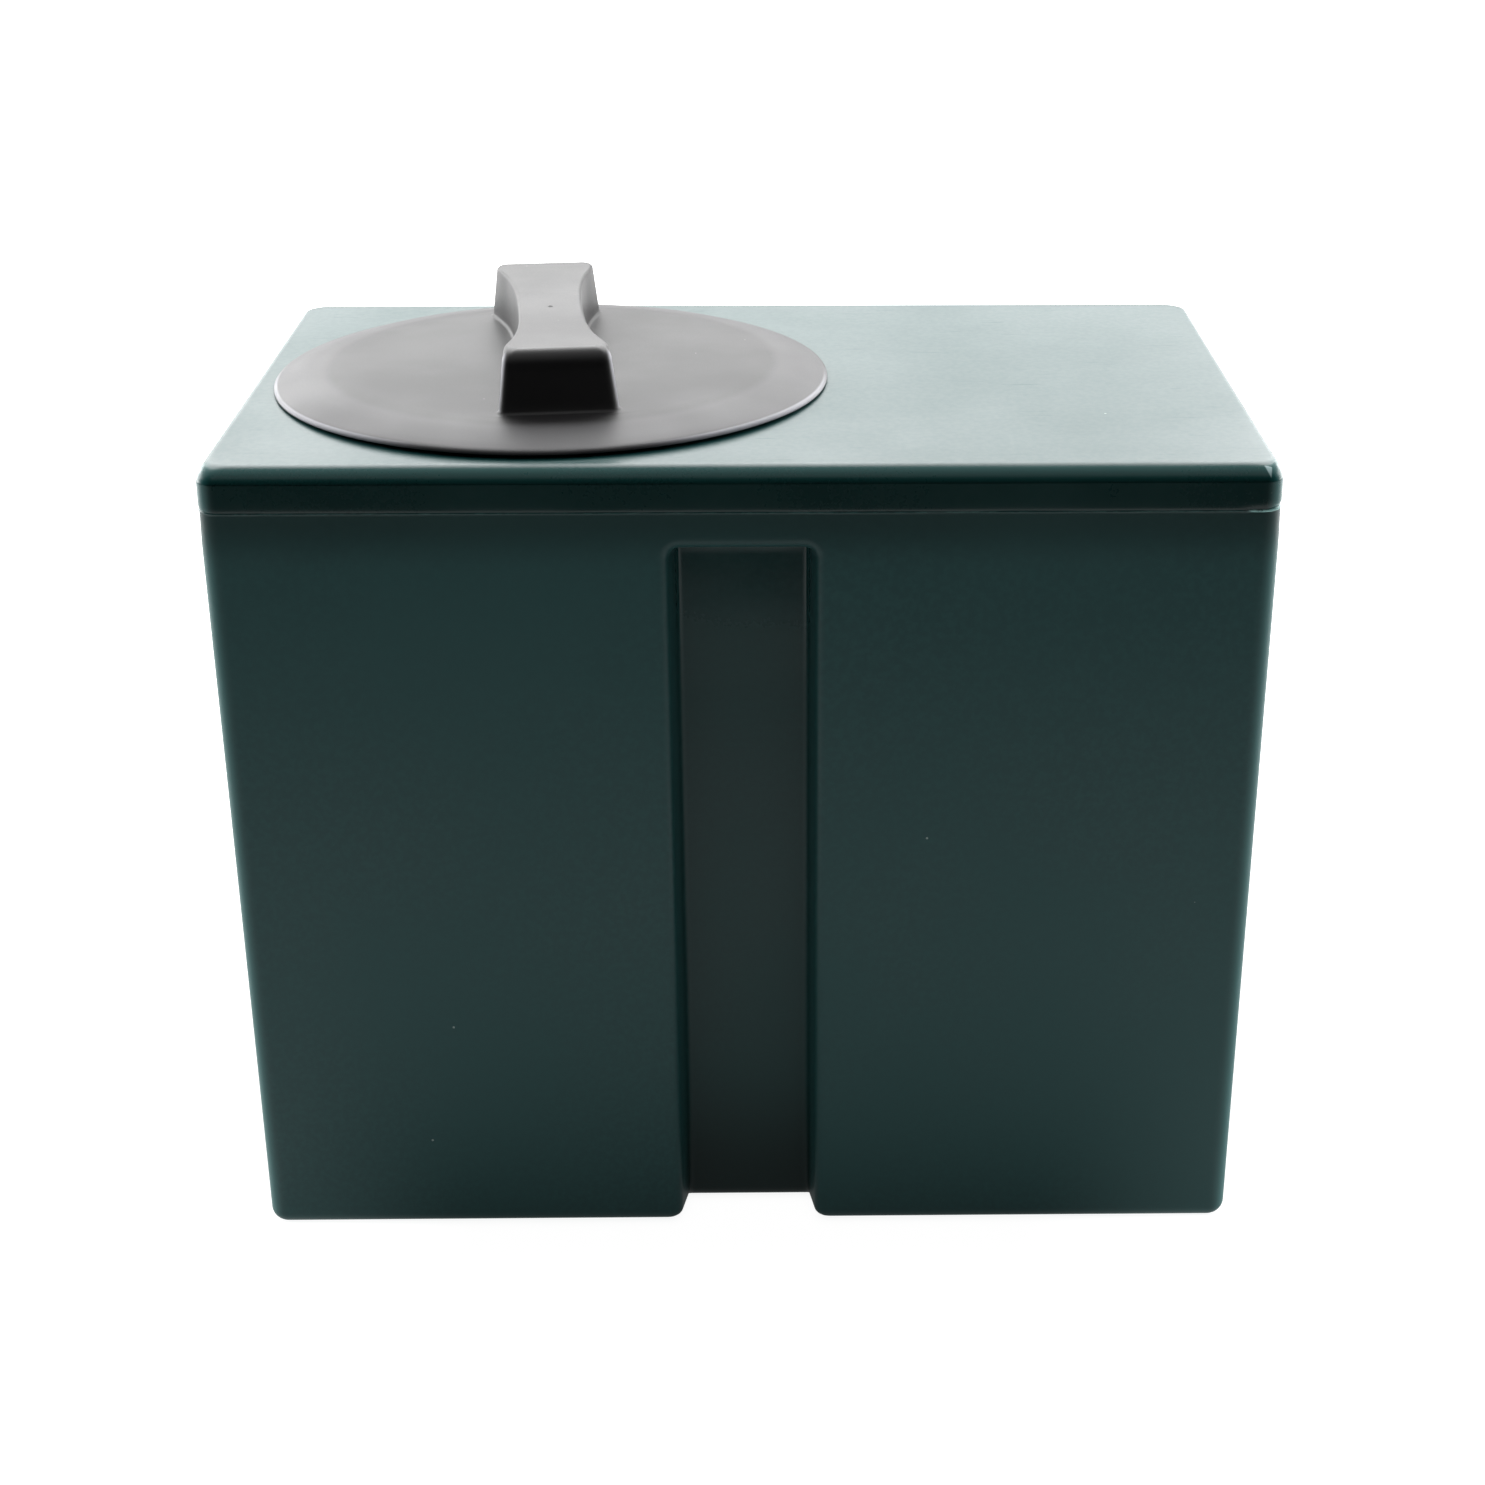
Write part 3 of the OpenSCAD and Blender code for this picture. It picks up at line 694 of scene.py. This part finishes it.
THREAD_PITCH = 1.814
THREAD_ROOT_R = 10.32
THREAD_CREST_R = 10.74
THREAD_HALF_W = 0.62
THREAD_STEPS = 48        # in one turn
AFTER_NUT = 1.0
BEFORE_END = 1.6


def thread_ridge(name, centre_x, centre_z, from_y, to_y, root_r, crest_r, half_width):
    """A ridge wound round an axis along Y, its height running out over a turn at each end."""
    shell = Shell()
    rings = []
    turns = (to_y - from_y) / THREAD_PITCH
    for k in range(int(turns * THREAD_STEPS) + 1):
        turned = k / THREAD_STEPS
        angle = 2 * math.pi * turned
        y = from_y + THREAD_PITCH * turned
        full = max(min(turned, turns - turned, 1.0), 0.1)
        height = root_r + (crest_r - root_r) * full
        rings.append(shell.ring([
            (centre_x + radius * math.cos(angle), y + along, centre_z + radius * math.sin(angle))
            for radius, along in ((root_r, -half_width), (height, 0.0), (root_r, half_width))
        ]))
    for low, high in zip(rings, rings[1:]):
        shell.bridge(low, high)
    shell.faces.append(tuple(reversed(rings[0])))
    shell.faces.append(tuple(rings[-1]))
    return make_piece(name, shell, 60)


inlet_low, inlet_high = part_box("inlet_outer_nut")
inlet_middle = (inlet_low + inlet_high) / 2 / MM
tail_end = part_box("valve_body")[1].y / MM
inlet_thread = thread_ridge("inlet_thread", inlet_middle.x, inlet_middle.z,
                            inlet_high.y / MM + AFTER_NUT, tail_end - BEFORE_END,
                            THREAD_ROOT_R, THREAD_CREST_R, THREAD_HALF_W)
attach(inlet_thread, "tank")


# ---- materials ----

class Paint:
    """Builds one material's nodes; every pattern is read from the object's own coordinates."""

    def __init__(self, name):
        self.material = bpy.data.materials.new(name)
        self.material.use_nodes = True
        self.tree = self.material.node_tree
        self.tree.nodes.clear()
        self.shader = self.node("ShaderNodeBsdfPrincipled")
        output = self.node("ShaderNodeOutputMaterial")
        self.link(self.shader.outputs[0], output.inputs["Surface"])
        self.place = self.node("ShaderNodeTexCoord").outputs["Object"]

    def node(self, kind, **settings):
        made = self.tree.nodes.new(kind)
        for key, value in settings.items():
            setattr(made, key, value)
        return made

    def link(self, source, target):
        self.tree.links.new(source, target)

    def put(self, value, target):
        """Sets a socket to a number or colour, or links it to another socket."""
        if isinstance(value, bpy.types.NodeSocket):
            self.link(value, target)
        elif isinstance(value, tuple) and len(value) == 3 and len(target.default_value) == 4:
            target.default_value = (*value, 1)
        else:
            target.default_value = value

    def math(self, operation, a, b=0.0):
        made = self.node("ShaderNodeMath", operation=operation)
        self.put(a, made.inputs[0])
        self.put(b, made.inputs[1])
        return made.outputs[0]

    def times(self, first, *others):
        for other in others:
            first = self.math("MULTIPLY", first, other)
        return first

    def plus(self, a, b):
        return self.math("ADD", a, b)

    def less(self, a, b):
        return self.math("SUBTRACT", a, b)

    def noise(self, scale, detail=2.0, roughness=0.5, stretch=(1, 1, 1)):
        """Noise from about 0.25 to 0.75, scale cells to the metre."""
        mapping = self.node("ShaderNodeMapping")
        mapping.inputs["Scale"].default_value = stretch
        self.link(self.place, mapping.inputs["Vector"])
        made = self.node("ShaderNodeTexNoise")
        made.inputs["Scale"].default_value = scale
        made.inputs["Detail"].default_value = detail
        made.inputs["Roughness"].default_value = roughness
        self.link(mapping.outputs[0], made.inputs["Vector"])
        return made.outputs["Fac"]

    def span(self, value, low, high, to_low=0.0, to_high=1.0, shape="SMOOTHSTEP"):
        """Maps value from low..high to to_low..to_high, within those limits."""
        made = self.node("ShaderNodeMapRange", interpolation_type=shape)
        numbers = {"From Min": low, "From Max": high, "To Min": to_low, "To Max": to_high}
        for key, number in numbers.items():
            made.inputs[key].default_value = number
        self.link(value, made.inputs["Value"])
        return made.outputs["Result"]

    def span_mm(self, value, low, high, to_low=0.0, to_high=1.0):
        """As span, with low and high in millimetres."""
        return self.span(value, low * MM, high * MM, to_low, to_high)

    def mix(self, factor, a, b):
        made = self.node("ShaderNodeMix", data_type="RGBA")
        self.put(factor, made.inputs["Factor"])
        self.put(a, made.inputs[6])
        self.put(b, made.inputs[7])
        return made.outputs[2]

    def axis(self, name):
        made = self.node("ShaderNodeSeparateXYZ")
        self.link(self.place, made.inputs[0])
        return made.outputs[name]

    def specks(self, scale, size, keep):
        """1 in small scattered dots, 0 elsewhere; keep is the share of cells that have one."""
        made = self.node("ShaderNodeTexVoronoi", feature="F1")
        made.inputs["Scale"].default_value = scale
        self.link(self.place, made.inputs["Vector"])
        dot = self.math("LESS_THAN", made.outputs["Distance"], size)
        split = self.node("ShaderNodeSeparateColor")
        self.link(made.outputs["Color"], split.inputs[0])
        chosen = self.math("LESS_THAN", split.outputs[0], keep)
        return self.times(dot, chosen)

    def bump(self, *layers):
        """Layers are (height socket, distance in metres)."""
        previous = None
        for height, distance in layers:
            made = self.node("ShaderNodeBump")
            made.inputs["Strength"].default_value = 1.0
            made.inputs["Distance"].default_value = distance
            self.link(height, made.inputs["Height"])
            if previous is not None:
                self.link(previous, made.inputs["Normal"])
            previous = made.outputs["Normal"]
        self.link(previous, self.shader.inputs["Normal"])

    def set(self, **sockets):
        names = {"colour": "Base Color", "metallic": "Metallic", "roughness": "Roughness",
                 "ior": "IOR", "glow_colour": "Emission Color", "glow": "Emission Strength"}
        for key, value in sockets.items():
            self.put(value, self.shader.inputs[names[key]])


def tank_plastic():
    """Satin rotomoulded polyethylene, one plastic all over. Its colours paint light and shade: the
    band above the parting line is painted darker and smoother as painted shade, the groove and the
    zone under the parting line are painted darker, the edge of the top and the front corners are
    painted lighter, and the parting line, its torn flash and the chip carry painted highlights."""
    paint = Paint("tank_plastic")
    x, y, z = (paint.axis(name) for name in "XYZ")
    clouds = paint.noise(7, 3, 0.55)
    mottle = paint.noise(420, 2, 0.6)
    in_band = paint.span_mm(z, PARTING - 0.6, PARTING + 0.8)
    on_deck = paint.span_mm(z, TOP - 0.9, TOP - 0.4)
    body = paint.mix(paint.span(clouds, 0.32, 0.68),
                     (0.0062, 0.041, 0.0415), (0.0082, 0.048, 0.048))
    body = paint.mix(paint.span(mottle, 0.35, 0.72), body, (0.0086, 0.0495, 0.0495))
    # painted shade: the band above the parting line is painted darker than the body
    band = paint.mix(paint.span(clouds, 0.35, 0.65),
                     (0.0010, 0.0150, 0.0142), (0.0018, 0.0200, 0.0190))
    colour = paint.mix(in_band, body, band)
    # painted sheen: the edge of the top is painted lighter and more saturated
    colour = paint.mix(paint.span_mm(z, TOP - 6, TOP - 1.5), colour, (0.002, 0.060, 0.057))
    colour = paint.mix(on_deck, colour, (0.008, 0.048, 0.047))
    # painted highlight: the front corners are painted a lighter teal
    at_corner = paint.times(
        paint.span_mm(paint.math("ABSOLUTE", x), HALF_W - 7.5, HALF_W - 1.5),
        paint.span_mm(paint.math("ABSOLUTE", y), HALF_D - 14, HALF_D - 9),
        paint.span_mm(y, -HALF_D * 0.9, -HALF_D * 0.3, 1.0, 0.0),
    )
    colour = paint.mix(at_corner, colour, (0.012, 0.100, 0.098))

    # painted shade: the groove is painted darker, most at its foot, and so is the zone under the
    # parting line
    in_groove = paint.times(
        paint.span_mm(y, -HALF_D + 9, -HALF_D + 17),
        paint.span_mm(y, -HALF_D + 25, -HALF_D + 30, 1.0, 0.0),
        paint.math("LESS_THAN", paint.math("ABSOLUTE", x), (GROOVE_HALF + 3) * MM),
        paint.math("LESS_THAN", z, (GROOVE_TOP + 3) * MM),
    )
    colour = paint.mix(paint.times(in_groove, 0.55), colour, band)
    groove_foot_shade = paint.times(in_groove, paint.span_mm(z, 10, 75, 0.8, 0.0))
    colour = paint.mix(groove_foot_shade, colour, (0.0004, 0.0090, 0.0085))
    # painted shade under the parting line
    under_line_shade = paint.times(
        paint.span_mm(z, PARTING - 24, PARTING - 2),
        paint.span_mm(z, PARTING - 0.6, PARTING + 0.8, 1.0, 0.0),
    )
    colour = paint.mix(paint.times(under_line_shade, 0.75), colour, band)

    # painted highlights: the parting line, its torn flash, and the chip, which is bounded by two
    # slanting lines, are painted lighter
    near_line = paint.math("ABSOLUTE", paint.less(z, PARTING * MM))
    line = paint.span_mm(near_line, 0.0, 0.45, 1.0, 0.0)
    broken = paint.span(paint.noise(160, 3, 0.7), 0.42, 0.62, 0.15, 0.9)
    colour = paint.mix(paint.times(line, broken), colour, (0.022, 0.070, 0.066))
    # painted highlight on the torn flash; the flash itself stands proud in the shape
    torn_flash_highlight = paint.times(
        paint.span_mm(x, HALF_W - 15, HALF_W - 11),
        paint.span_mm(y, -HALF_D + 7, -HALF_D + 10, 1.0, 0.0),
        paint.span_mm(near_line, 0.2, 0.6, 1.0, 0.0),
        paint.span(paint.noise(240, 3, 0.7), 0.36, 0.52),
    )
    colour = paint.mix(torn_flash_highlight, colour, (0.24, 0.46, 0.44))
    # painted glint on the chip's facet; the chip itself is cut in the shape
    chip_x = paint.less(x, (HALF_W - 9.0) * MM)
    chip_down = paint.less(TOP * MM, z)
    from_left = paint.less(chip_x, paint.times(chip_down, 0.6))
    from_right = paint.less(4.2 * MM, paint.plus(chip_x, paint.times(chip_down, 0.25)))
    chip = paint.times(
        paint.span_mm(from_left, 0.0, 0.6),
        paint.span_mm(from_right, 0.0, 0.6),
        paint.math("LESS_THAN", y, (-HALF_D + 5) * MM),
    )
    colour = paint.mix(paint.times(chip, 0.8), colour, (0.36, 0.50, 0.51))
    dots = paint.specks(85, 0.04, 0.035)
    colour = paint.mix(paint.times(dots, 0.5), colour, (0.35, 0.42, 0.40))

    scratch_field = paint.noise(30, 4, 0.7, stretch=(1, 14, 1))
    scratches = paint.times(paint.span(scratch_field, 0.64, 0.70), on_deck)
    groove_head = paint.times(in_groove, paint.span_mm(z, GROOVE_TOP - 75, GROOVE_TOP - 15))
    rough = paint.span(clouds, 0.3, 0.7, 0.40, 0.48)
    rough = paint.less(rough, paint.times(in_band, 0.17))
    rough = paint.less(rough, paint.times(groove_head, 0.24))
    rough = paint.plus(rough, paint.times(on_deck, 0.14))
    rough = paint.plus(rough, paint.times(scratches, 0.1))
    rough = paint.plus(rough, paint.times(paint.span(mottle, 0.3, 0.7), 0.03))
    paint.set(colour=colour, roughness=rough, ior=1.33)
    paint.bump((paint.noise(28, 2, 0.5), 0.0002), (mottle, 0.00001))
    return paint.material


def lid_plastic():
    """Black injection-moulded polypropylene with a fine spark-eroded grain. The lighter flange
    and the bright edges stand in for the photo's light."""
    paint = Paint("lid_plastic")
    x, y, z = (paint.axis(name) for name in "XYZ")
    grain = paint.noise(1900, 2, 0.6)
    clouds = paint.noise(16, 3, 0.6)
    colour = paint.mix(paint.span(clouds, 0.3, 0.7),
                       (0.0070, 0.0068, 0.0074), (0.0100, 0.0095, 0.0102))
    dots = paint.specks(150, 0.045, 0.06)
    colour = paint.mix(paint.times(dots, 0.5), colour, (0.35, 0.35, 0.35))
    on_handle = paint.span_mm(z, TOP + PLATE + 2, TOP + PLATE + 5)
    rough = paint.span(clouds, 0.3, 0.7, 0.47, 0.53)
    rough = paint.plus(rough, paint.times(paint.span(grain, 0.3, 0.7), 0.04))
    rough = paint.less(rough, paint.times(on_handle, 0.06))

    # the flange and the front of the lid's edge
    beside = paint.math("ABSOLUTE", paint.less(x, LID_X * MM))
    from_axis = paint.math("SQRT", paint.plus(paint.times(beside, beside), paint.times(y, y)))
    colour = paint.mix(paint.span_mm(from_axis, 88, 94), colour, (0.034, 0.033, 0.0355))
    edge_line = paint.times(
        paint.span_mm(from_axis, LID_R - 1.9, LID_R - 0.9),
        paint.span_mm(z, TOP + 0.7, TOP + 1.1),
        paint.span_mm(beside, 35, 75),
        paint.span_mm(y, -30, 15, 1.0, 0.0),
        paint.span(clouds, 0.25, 0.6, 0.5, 0.9),
    )
    colour = paint.mix(edge_line, colour, (0.30, 0.30, 0.33))

    # the handle's two front upright edges, found along and across the turned handle
    cos_turn, sin_turn = math.cos(HANDLE_TURN), math.sin(HANDLE_TURN)
    tall = HANDLE_RISE - PLATE
    off_x = paint.less(x, LID_X * MM)
    off_y = paint.less(y, LID_Y * MM)
    up = paint.less(z, (TOP + PLATE) * MM)
    across = paint.math("ABSOLUTE", paint.plus(paint.times(off_x, cos_turn),
                                               paint.times(off_y, sin_turn)))
    side_lean = (HANDLE_FOOT_HALF_W[-1] - HANDLE_TOP_HALF_W[-1]) / tall
    across = paint.plus(across, paint.times(up, side_lean))
    along = paint.less(paint.times(off_y, cos_turn), paint.times(off_x, sin_turn))
    along = paint.less(along, paint.times(up, (HANDLE_FOOT_L - HANDLE_TOP_L) / tall))
    upright = paint.times(
        paint.span_mm(across, 21.9, 23.6),
        paint.span_mm(along, -76.5, -74, 1.0, 0.0),
        paint.span_mm(up, 0.2, 1.5),
    )
    colour = paint.mix(paint.times(upright, 0.9), colour, (0.30, 0.30, 0.34))
    paint.set(colour=colour, roughness=rough, ior=1.34)
    paint.bump((grain, 0.00002))
    return paint.material


def plain_moulding(name, dark, light, rough_low, rough_high, cells=40, grain=0.00002):
    """A moulded plastic with slow colour variation, fine grain and a few scuffs."""
    paint = Paint(name)
    clouds = paint.noise(cells, 3, 0.6)
    fine = paint.noise(1300, 2, 0.6)
    scuffs = paint.span(paint.noise(90, 4, 0.75, stretch=(1, 5, 1)), 0.60, 0.68)
    colour = paint.mix(paint.span(clouds, 0.3, 0.7), dark, light)
    worn = tuple(min(1.0, c * 1.25 + 0.02) for c in light)
    colour = paint.mix(paint.times(scuffs, 0.5), colour, worn)
    rough = paint.plus(paint.span(clouds, 0.3, 0.7, rough_low, rough_high),
                       paint.times(scuffs, 0.12))
    paint.set(colour=colour, roughness=rough)
    paint.bump((fine, grain))
    return paint.material


def machined_metal(name, dark, light, dull, stretch):
    """A turned or hexagon-bar metal with fine tool marks and a little tarnish."""
    paint = Paint(name)
    marks = paint.noise(900, 3, 0.6, stretch=stretch)
    tarnish = paint.span(paint.noise(70, 4, 0.65), 0.50, 0.66)
    pits = paint.noise(1500, 2, 0.5)
    colour = paint.mix(paint.span(marks, 0.3, 0.7), dark, light)
    colour = paint.mix(paint.times(tarnish, 0.55), colour, dull)
    rough = paint.plus(paint.span(marks, 0.3, 0.7, 0.24, 0.42), paint.times(tarnish, 0.15))
    paint.set(colour=colour, metallic=1.0, roughness=rough)
    paint.bump((marks, 0.00003), (pits, 0.000008))
    return paint.material


MATERIALS = {
    "tank_plastic": tank_plastic(),
    "lid_plastic": lid_plastic(),
    "brass": machined_metal("brass", (0.36, 0.25, 0.09), (0.50, 0.37, 0.15),
                            (0.25, 0.15, 0.06), (0.3, 4, 0.3)),
    "steel": machined_metal("steel", (0.50, 0.51, 0.53), (0.68, 0.69, 0.71),
                            (0.36, 0.35, 0.34), (2, 2, 2)),
    "black_plastic": plain_moulding("black_plastic", (0.018, 0.018, 0.020), (0.032, 0.032, 0.035),
                                    0.38, 0.5),
    "rubber": plain_moulding("rubber", (0.010, 0.010, 0.010), (0.020, 0.020, 0.020), 0.62, 0.78,
                             60, 0.00004),
    "float_plastic": plain_moulding("float_plastic", (0.62, 0.17, 0.035), (0.74, 0.23, 0.06),
                                    0.28, 0.38, 25),
    "lever_plastic": plain_moulding("lever_plastic", (0.42, 0.028, 0.022), (0.52, 0.045, 0.035),
                                    0.26, 0.36, 60),
    "white_plastic": plain_moulding("white_plastic", (0.66, 0.66, 0.62), (0.74, 0.74, 0.70),
                                    0.32, 0.45, 60),
}

FINISHES = {
    "brass": ["valve_body", "valve_end_cap", "valve_piston", "float_arm", "float_lock_nut",
              "inlet_inner_nut", "inlet_outer_nut"],
    "steel": ["arm_pivot_pin", "lever_screw"],
    "black_plastic": ["outlet_connector", "outlet_back_nut", "tap_body", "tap_stem", "hose_tail"],
    "rubber": ["piston_washer", "inlet_inner_washer", "inlet_outer_washer",
               "outlet_inner_washer", "outlet_outer_washer", "stem_o_ring"],
    "float_plastic": ["float_ball"],
    "lever_plastic": ["tap_lever"],
    "white_plastic": ["valve_nozzle", "tap_ball", "tap_seat_inner", "tap_seat_outer"],
}


def dress(piece, slot):
    """Gives a piece one of the materials."""
    piece.data.materials.clear()
    piece.data.materials.append(MATERIALS[slot])


for slot, nodes in FINISHES.items():
    for node in nodes:
        dress(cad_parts[node], slot)
dress(tank, "tank_plastic")
dress(lid, "lid_plastic")
dress(gate, "lid_plastic")
dress(inlet_thread, "brass")


# ---- floor, light and camera ----

# sizes of the stage, in metres
FLOOR_REACH = 9.0
FLOOR_Z = -0.0002
CLOTH_Z = 0.003
CLOTH_HALF_W = 1.5
CLOTH_FRONT = -1.9       # behind the camera
CLOTH_BACK = -0.75
SCREEN_BACK = -0.15
SCREEN_H = 2.2
SHADOW_Z = 0.002
SHADOW_HALF_W = 0.2
SHADOW_Y = (-0.3, -0.09)

FLOOR_GLOW = 0.9         # in front of the tank
SWEEP_GLOW = 1.7         # behind it
UNDER_CLOTH_GLOW = 1.03
SHADOW_GLOW = 0.32


def stage_paint(name, colour):
    """A matt material of the stage, whose glow is white and 0 until it is set."""
    paint = Paint(name)
    paint.set(colour=colour, roughness=0.9, glow_colour=(1, 1, 1))
    return paint


def floor_material():
    """Paper that glows more behind the tank, as a lit sweep does, and a little more under the
    black cloth, which shades it."""
    paint = stage_paint("floor_white", (0.25, 0.25, 0.25))
    y = paint.axis("Y")
    paint.set(glow=paint.math(
        "MAXIMUM",
        paint.span(y, 0.1, 0.5, FLOOR_GLOW, SWEEP_GLOW),
        paint.span(y, -0.78, -0.70, UNDER_CLOTH_GLOW, FLOOR_GLOW, shape="LINEAR"),
    ))
    return paint.material


def shadow_material():
    """Floor that fades from the tank's shadow to the bare floor's glow."""
    paint = stage_paint("floor_shadow", (0.02, 0.02, 0.02))
    beside = paint.math("ABSOLUTE", paint.axis("X"))
    paint.set(glow=paint.math(
        "MAXIMUM",
        paint.span(paint.axis("Y"), -0.13, -0.29, SHADOW_GLOW, FLOOR_GLOW),
        paint.span(beside, 0.11, 0.20, SHADOW_GLOW, FLOOR_GLOW),
    ))
    return paint.material


def flat_sheet(name, corners, material):
    """A flat sheet of the stage, given its four corners in metres."""
    mesh = bpy.data.meshes.new(name)
    mesh.from_pydata(corners, [], [(0, 1, 2, 3)])
    sheet = bpy.data.objects.new(name, mesh)
    bpy.context.scene.collection.objects.link(sheet)
    mesh.materials.append(material)
    return sheet


def level_sheet(name, half_w, y_range, z, material):
    front, back = y_range
    return flat_sheet(name, [(-half_w, front, z), (half_w, front, z),
                             (half_w, back, z), (-half_w, back, z)], material)


def upright_sheet(name, start, end, material):
    """A sheet that stands on the floor line from start to end."""
    return flat_sheet(name, [(*start, 0.0), (*end, 0.0), (*end, SCREEN_H), (*start, SCREEN_H)],
                      material)


level_sheet("floor", FLOOR_REACH, (-FLOOR_REACH, FLOOR_REACH), FLOOR_Z, floor_material())

# Black cloth on the floor and round the camera, and the shadow that the tank throws forward.
# The camera doesn't see them: they act through reflections and by shading.
black = stage_paint("black_cloth", (0.002, 0.002, 0.002)).material
unseen = [
    level_sheet("black_cloth_floor", CLOTH_HALF_W, (CLOTH_FRONT, CLOTH_BACK), CLOTH_Z, black),
    upright_sheet("black_cloth_screen", (-CLOTH_HALF_W, CLOTH_FRONT),
                  (CLOTH_HALF_W, CLOTH_FRONT), black),
]
for side, name in ((-1, "left"), (1, "right")):
    unseen.append(upright_sheet("black_cloth_" + name, (side * CLOTH_HALF_W, CLOTH_FRONT),
                                (side * CLOTH_HALF_W, SCREEN_BACK), black))
unseen.append(level_sheet("floor_shadow", SHADOW_HALF_W, SHADOW_Y, SHADOW_Z, shadow_material()))
for sheet in unseen:
    sheet.visible_camera = False

world = bpy.data.worlds.new("studio")
bpy.context.scene.world = world
world.use_nodes = True
background = world.node_tree.nodes["Background"]
background.inputs["Color"].default_value = (1.0, 1.0, 1.0, 1)
background.inputs["Strength"].default_value = 1.0


def soft_light(name, place, target, size, radiance):
    """A rectangular soft light. radiance is how bright its face looks, with white paper at 1."""
    data = bpy.data.lights.new(name, "AREA")
    data.shape = "RECTANGLE"
    data.size, data.size_y = size
    data.energy = radiance * math.pi * size[0] * size[1]
    light = bpy.data.objects.new(name, data)
    light.location = place
    light.rotation_euler = (Vector(target) - Vector(place)).to_track_quat("-Z", "Y").to_euler()
    light.visible_camera = False
    bpy.context.scene.collection.objects.link(light)


soft_light("back_softbox", (0.0, 1.5, 1.5), (0.0, 0.0, 0.33), (2.4, 1.5), 7.1)
for side, name in ((-1, "left"), (1, "right")):
    soft_light(name + "_softbox", (side * 1.25, 0.6, 0.5), (0.0, 0.0, 0.3), (0.9, 0.9), 7.0)
    soft_light(name + "_strip", (side * 0.9, 1.05, 0.6), (0.0, 0.0, 0.34), (0.8, 0.6), 4.5)
soft_light("top_softbox", (0.0, 0.15, 2.1), (0.0, 0.0, 0.3), (1.8, 1.4), 0.35)

LENS_MM = 60.446
SENSOR_MM = 36
SHIFT = (-0.0454, 0.0027)
PLACE = (0.01209, -0.99408, 0.60441)
PITCH_DOWN = math.radians(23.991)
YAW_RIGHT = math.radians(0.865)
ROLL = math.radians(0.071)


def place_camera():
    """The photograph's viewpoint, turned and shifted only as far as its framing needs."""
    forward = Vector((math.sin(YAW_RIGHT) * math.cos(PITCH_DOWN),
                      math.cos(YAW_RIGHT) * math.cos(PITCH_DOWN),
                      -math.sin(PITCH_DOWN)))
    level_right = Vector((math.cos(YAW_RIGHT), -math.sin(YAW_RIGHT), 0))
    level_up = level_right.cross(forward)
    right = math.cos(ROLL) * level_right + math.sin(ROLL) * level_up
    up = math.cos(ROLL) * level_up - math.sin(ROLL) * level_right
    data = bpy.data.cameras.new("camera")
    data.lens = LENS_MM
    data.sensor_width = SENSOR_MM
    data.shift_x, data.shift_y = SHIFT
    camera = bpy.data.objects.new("camera", data)
    facing = Matrix((right, up, -forward)).transposed().to_4x4()
    camera.matrix_world = Matrix.Translation(PLACE) @ facing
    bpy.context.scene.collection.objects.link(camera)
    bpy.context.scene.camera = camera


place_camera()
bpy.context.scene.view_settings.view_transform = "Standard"
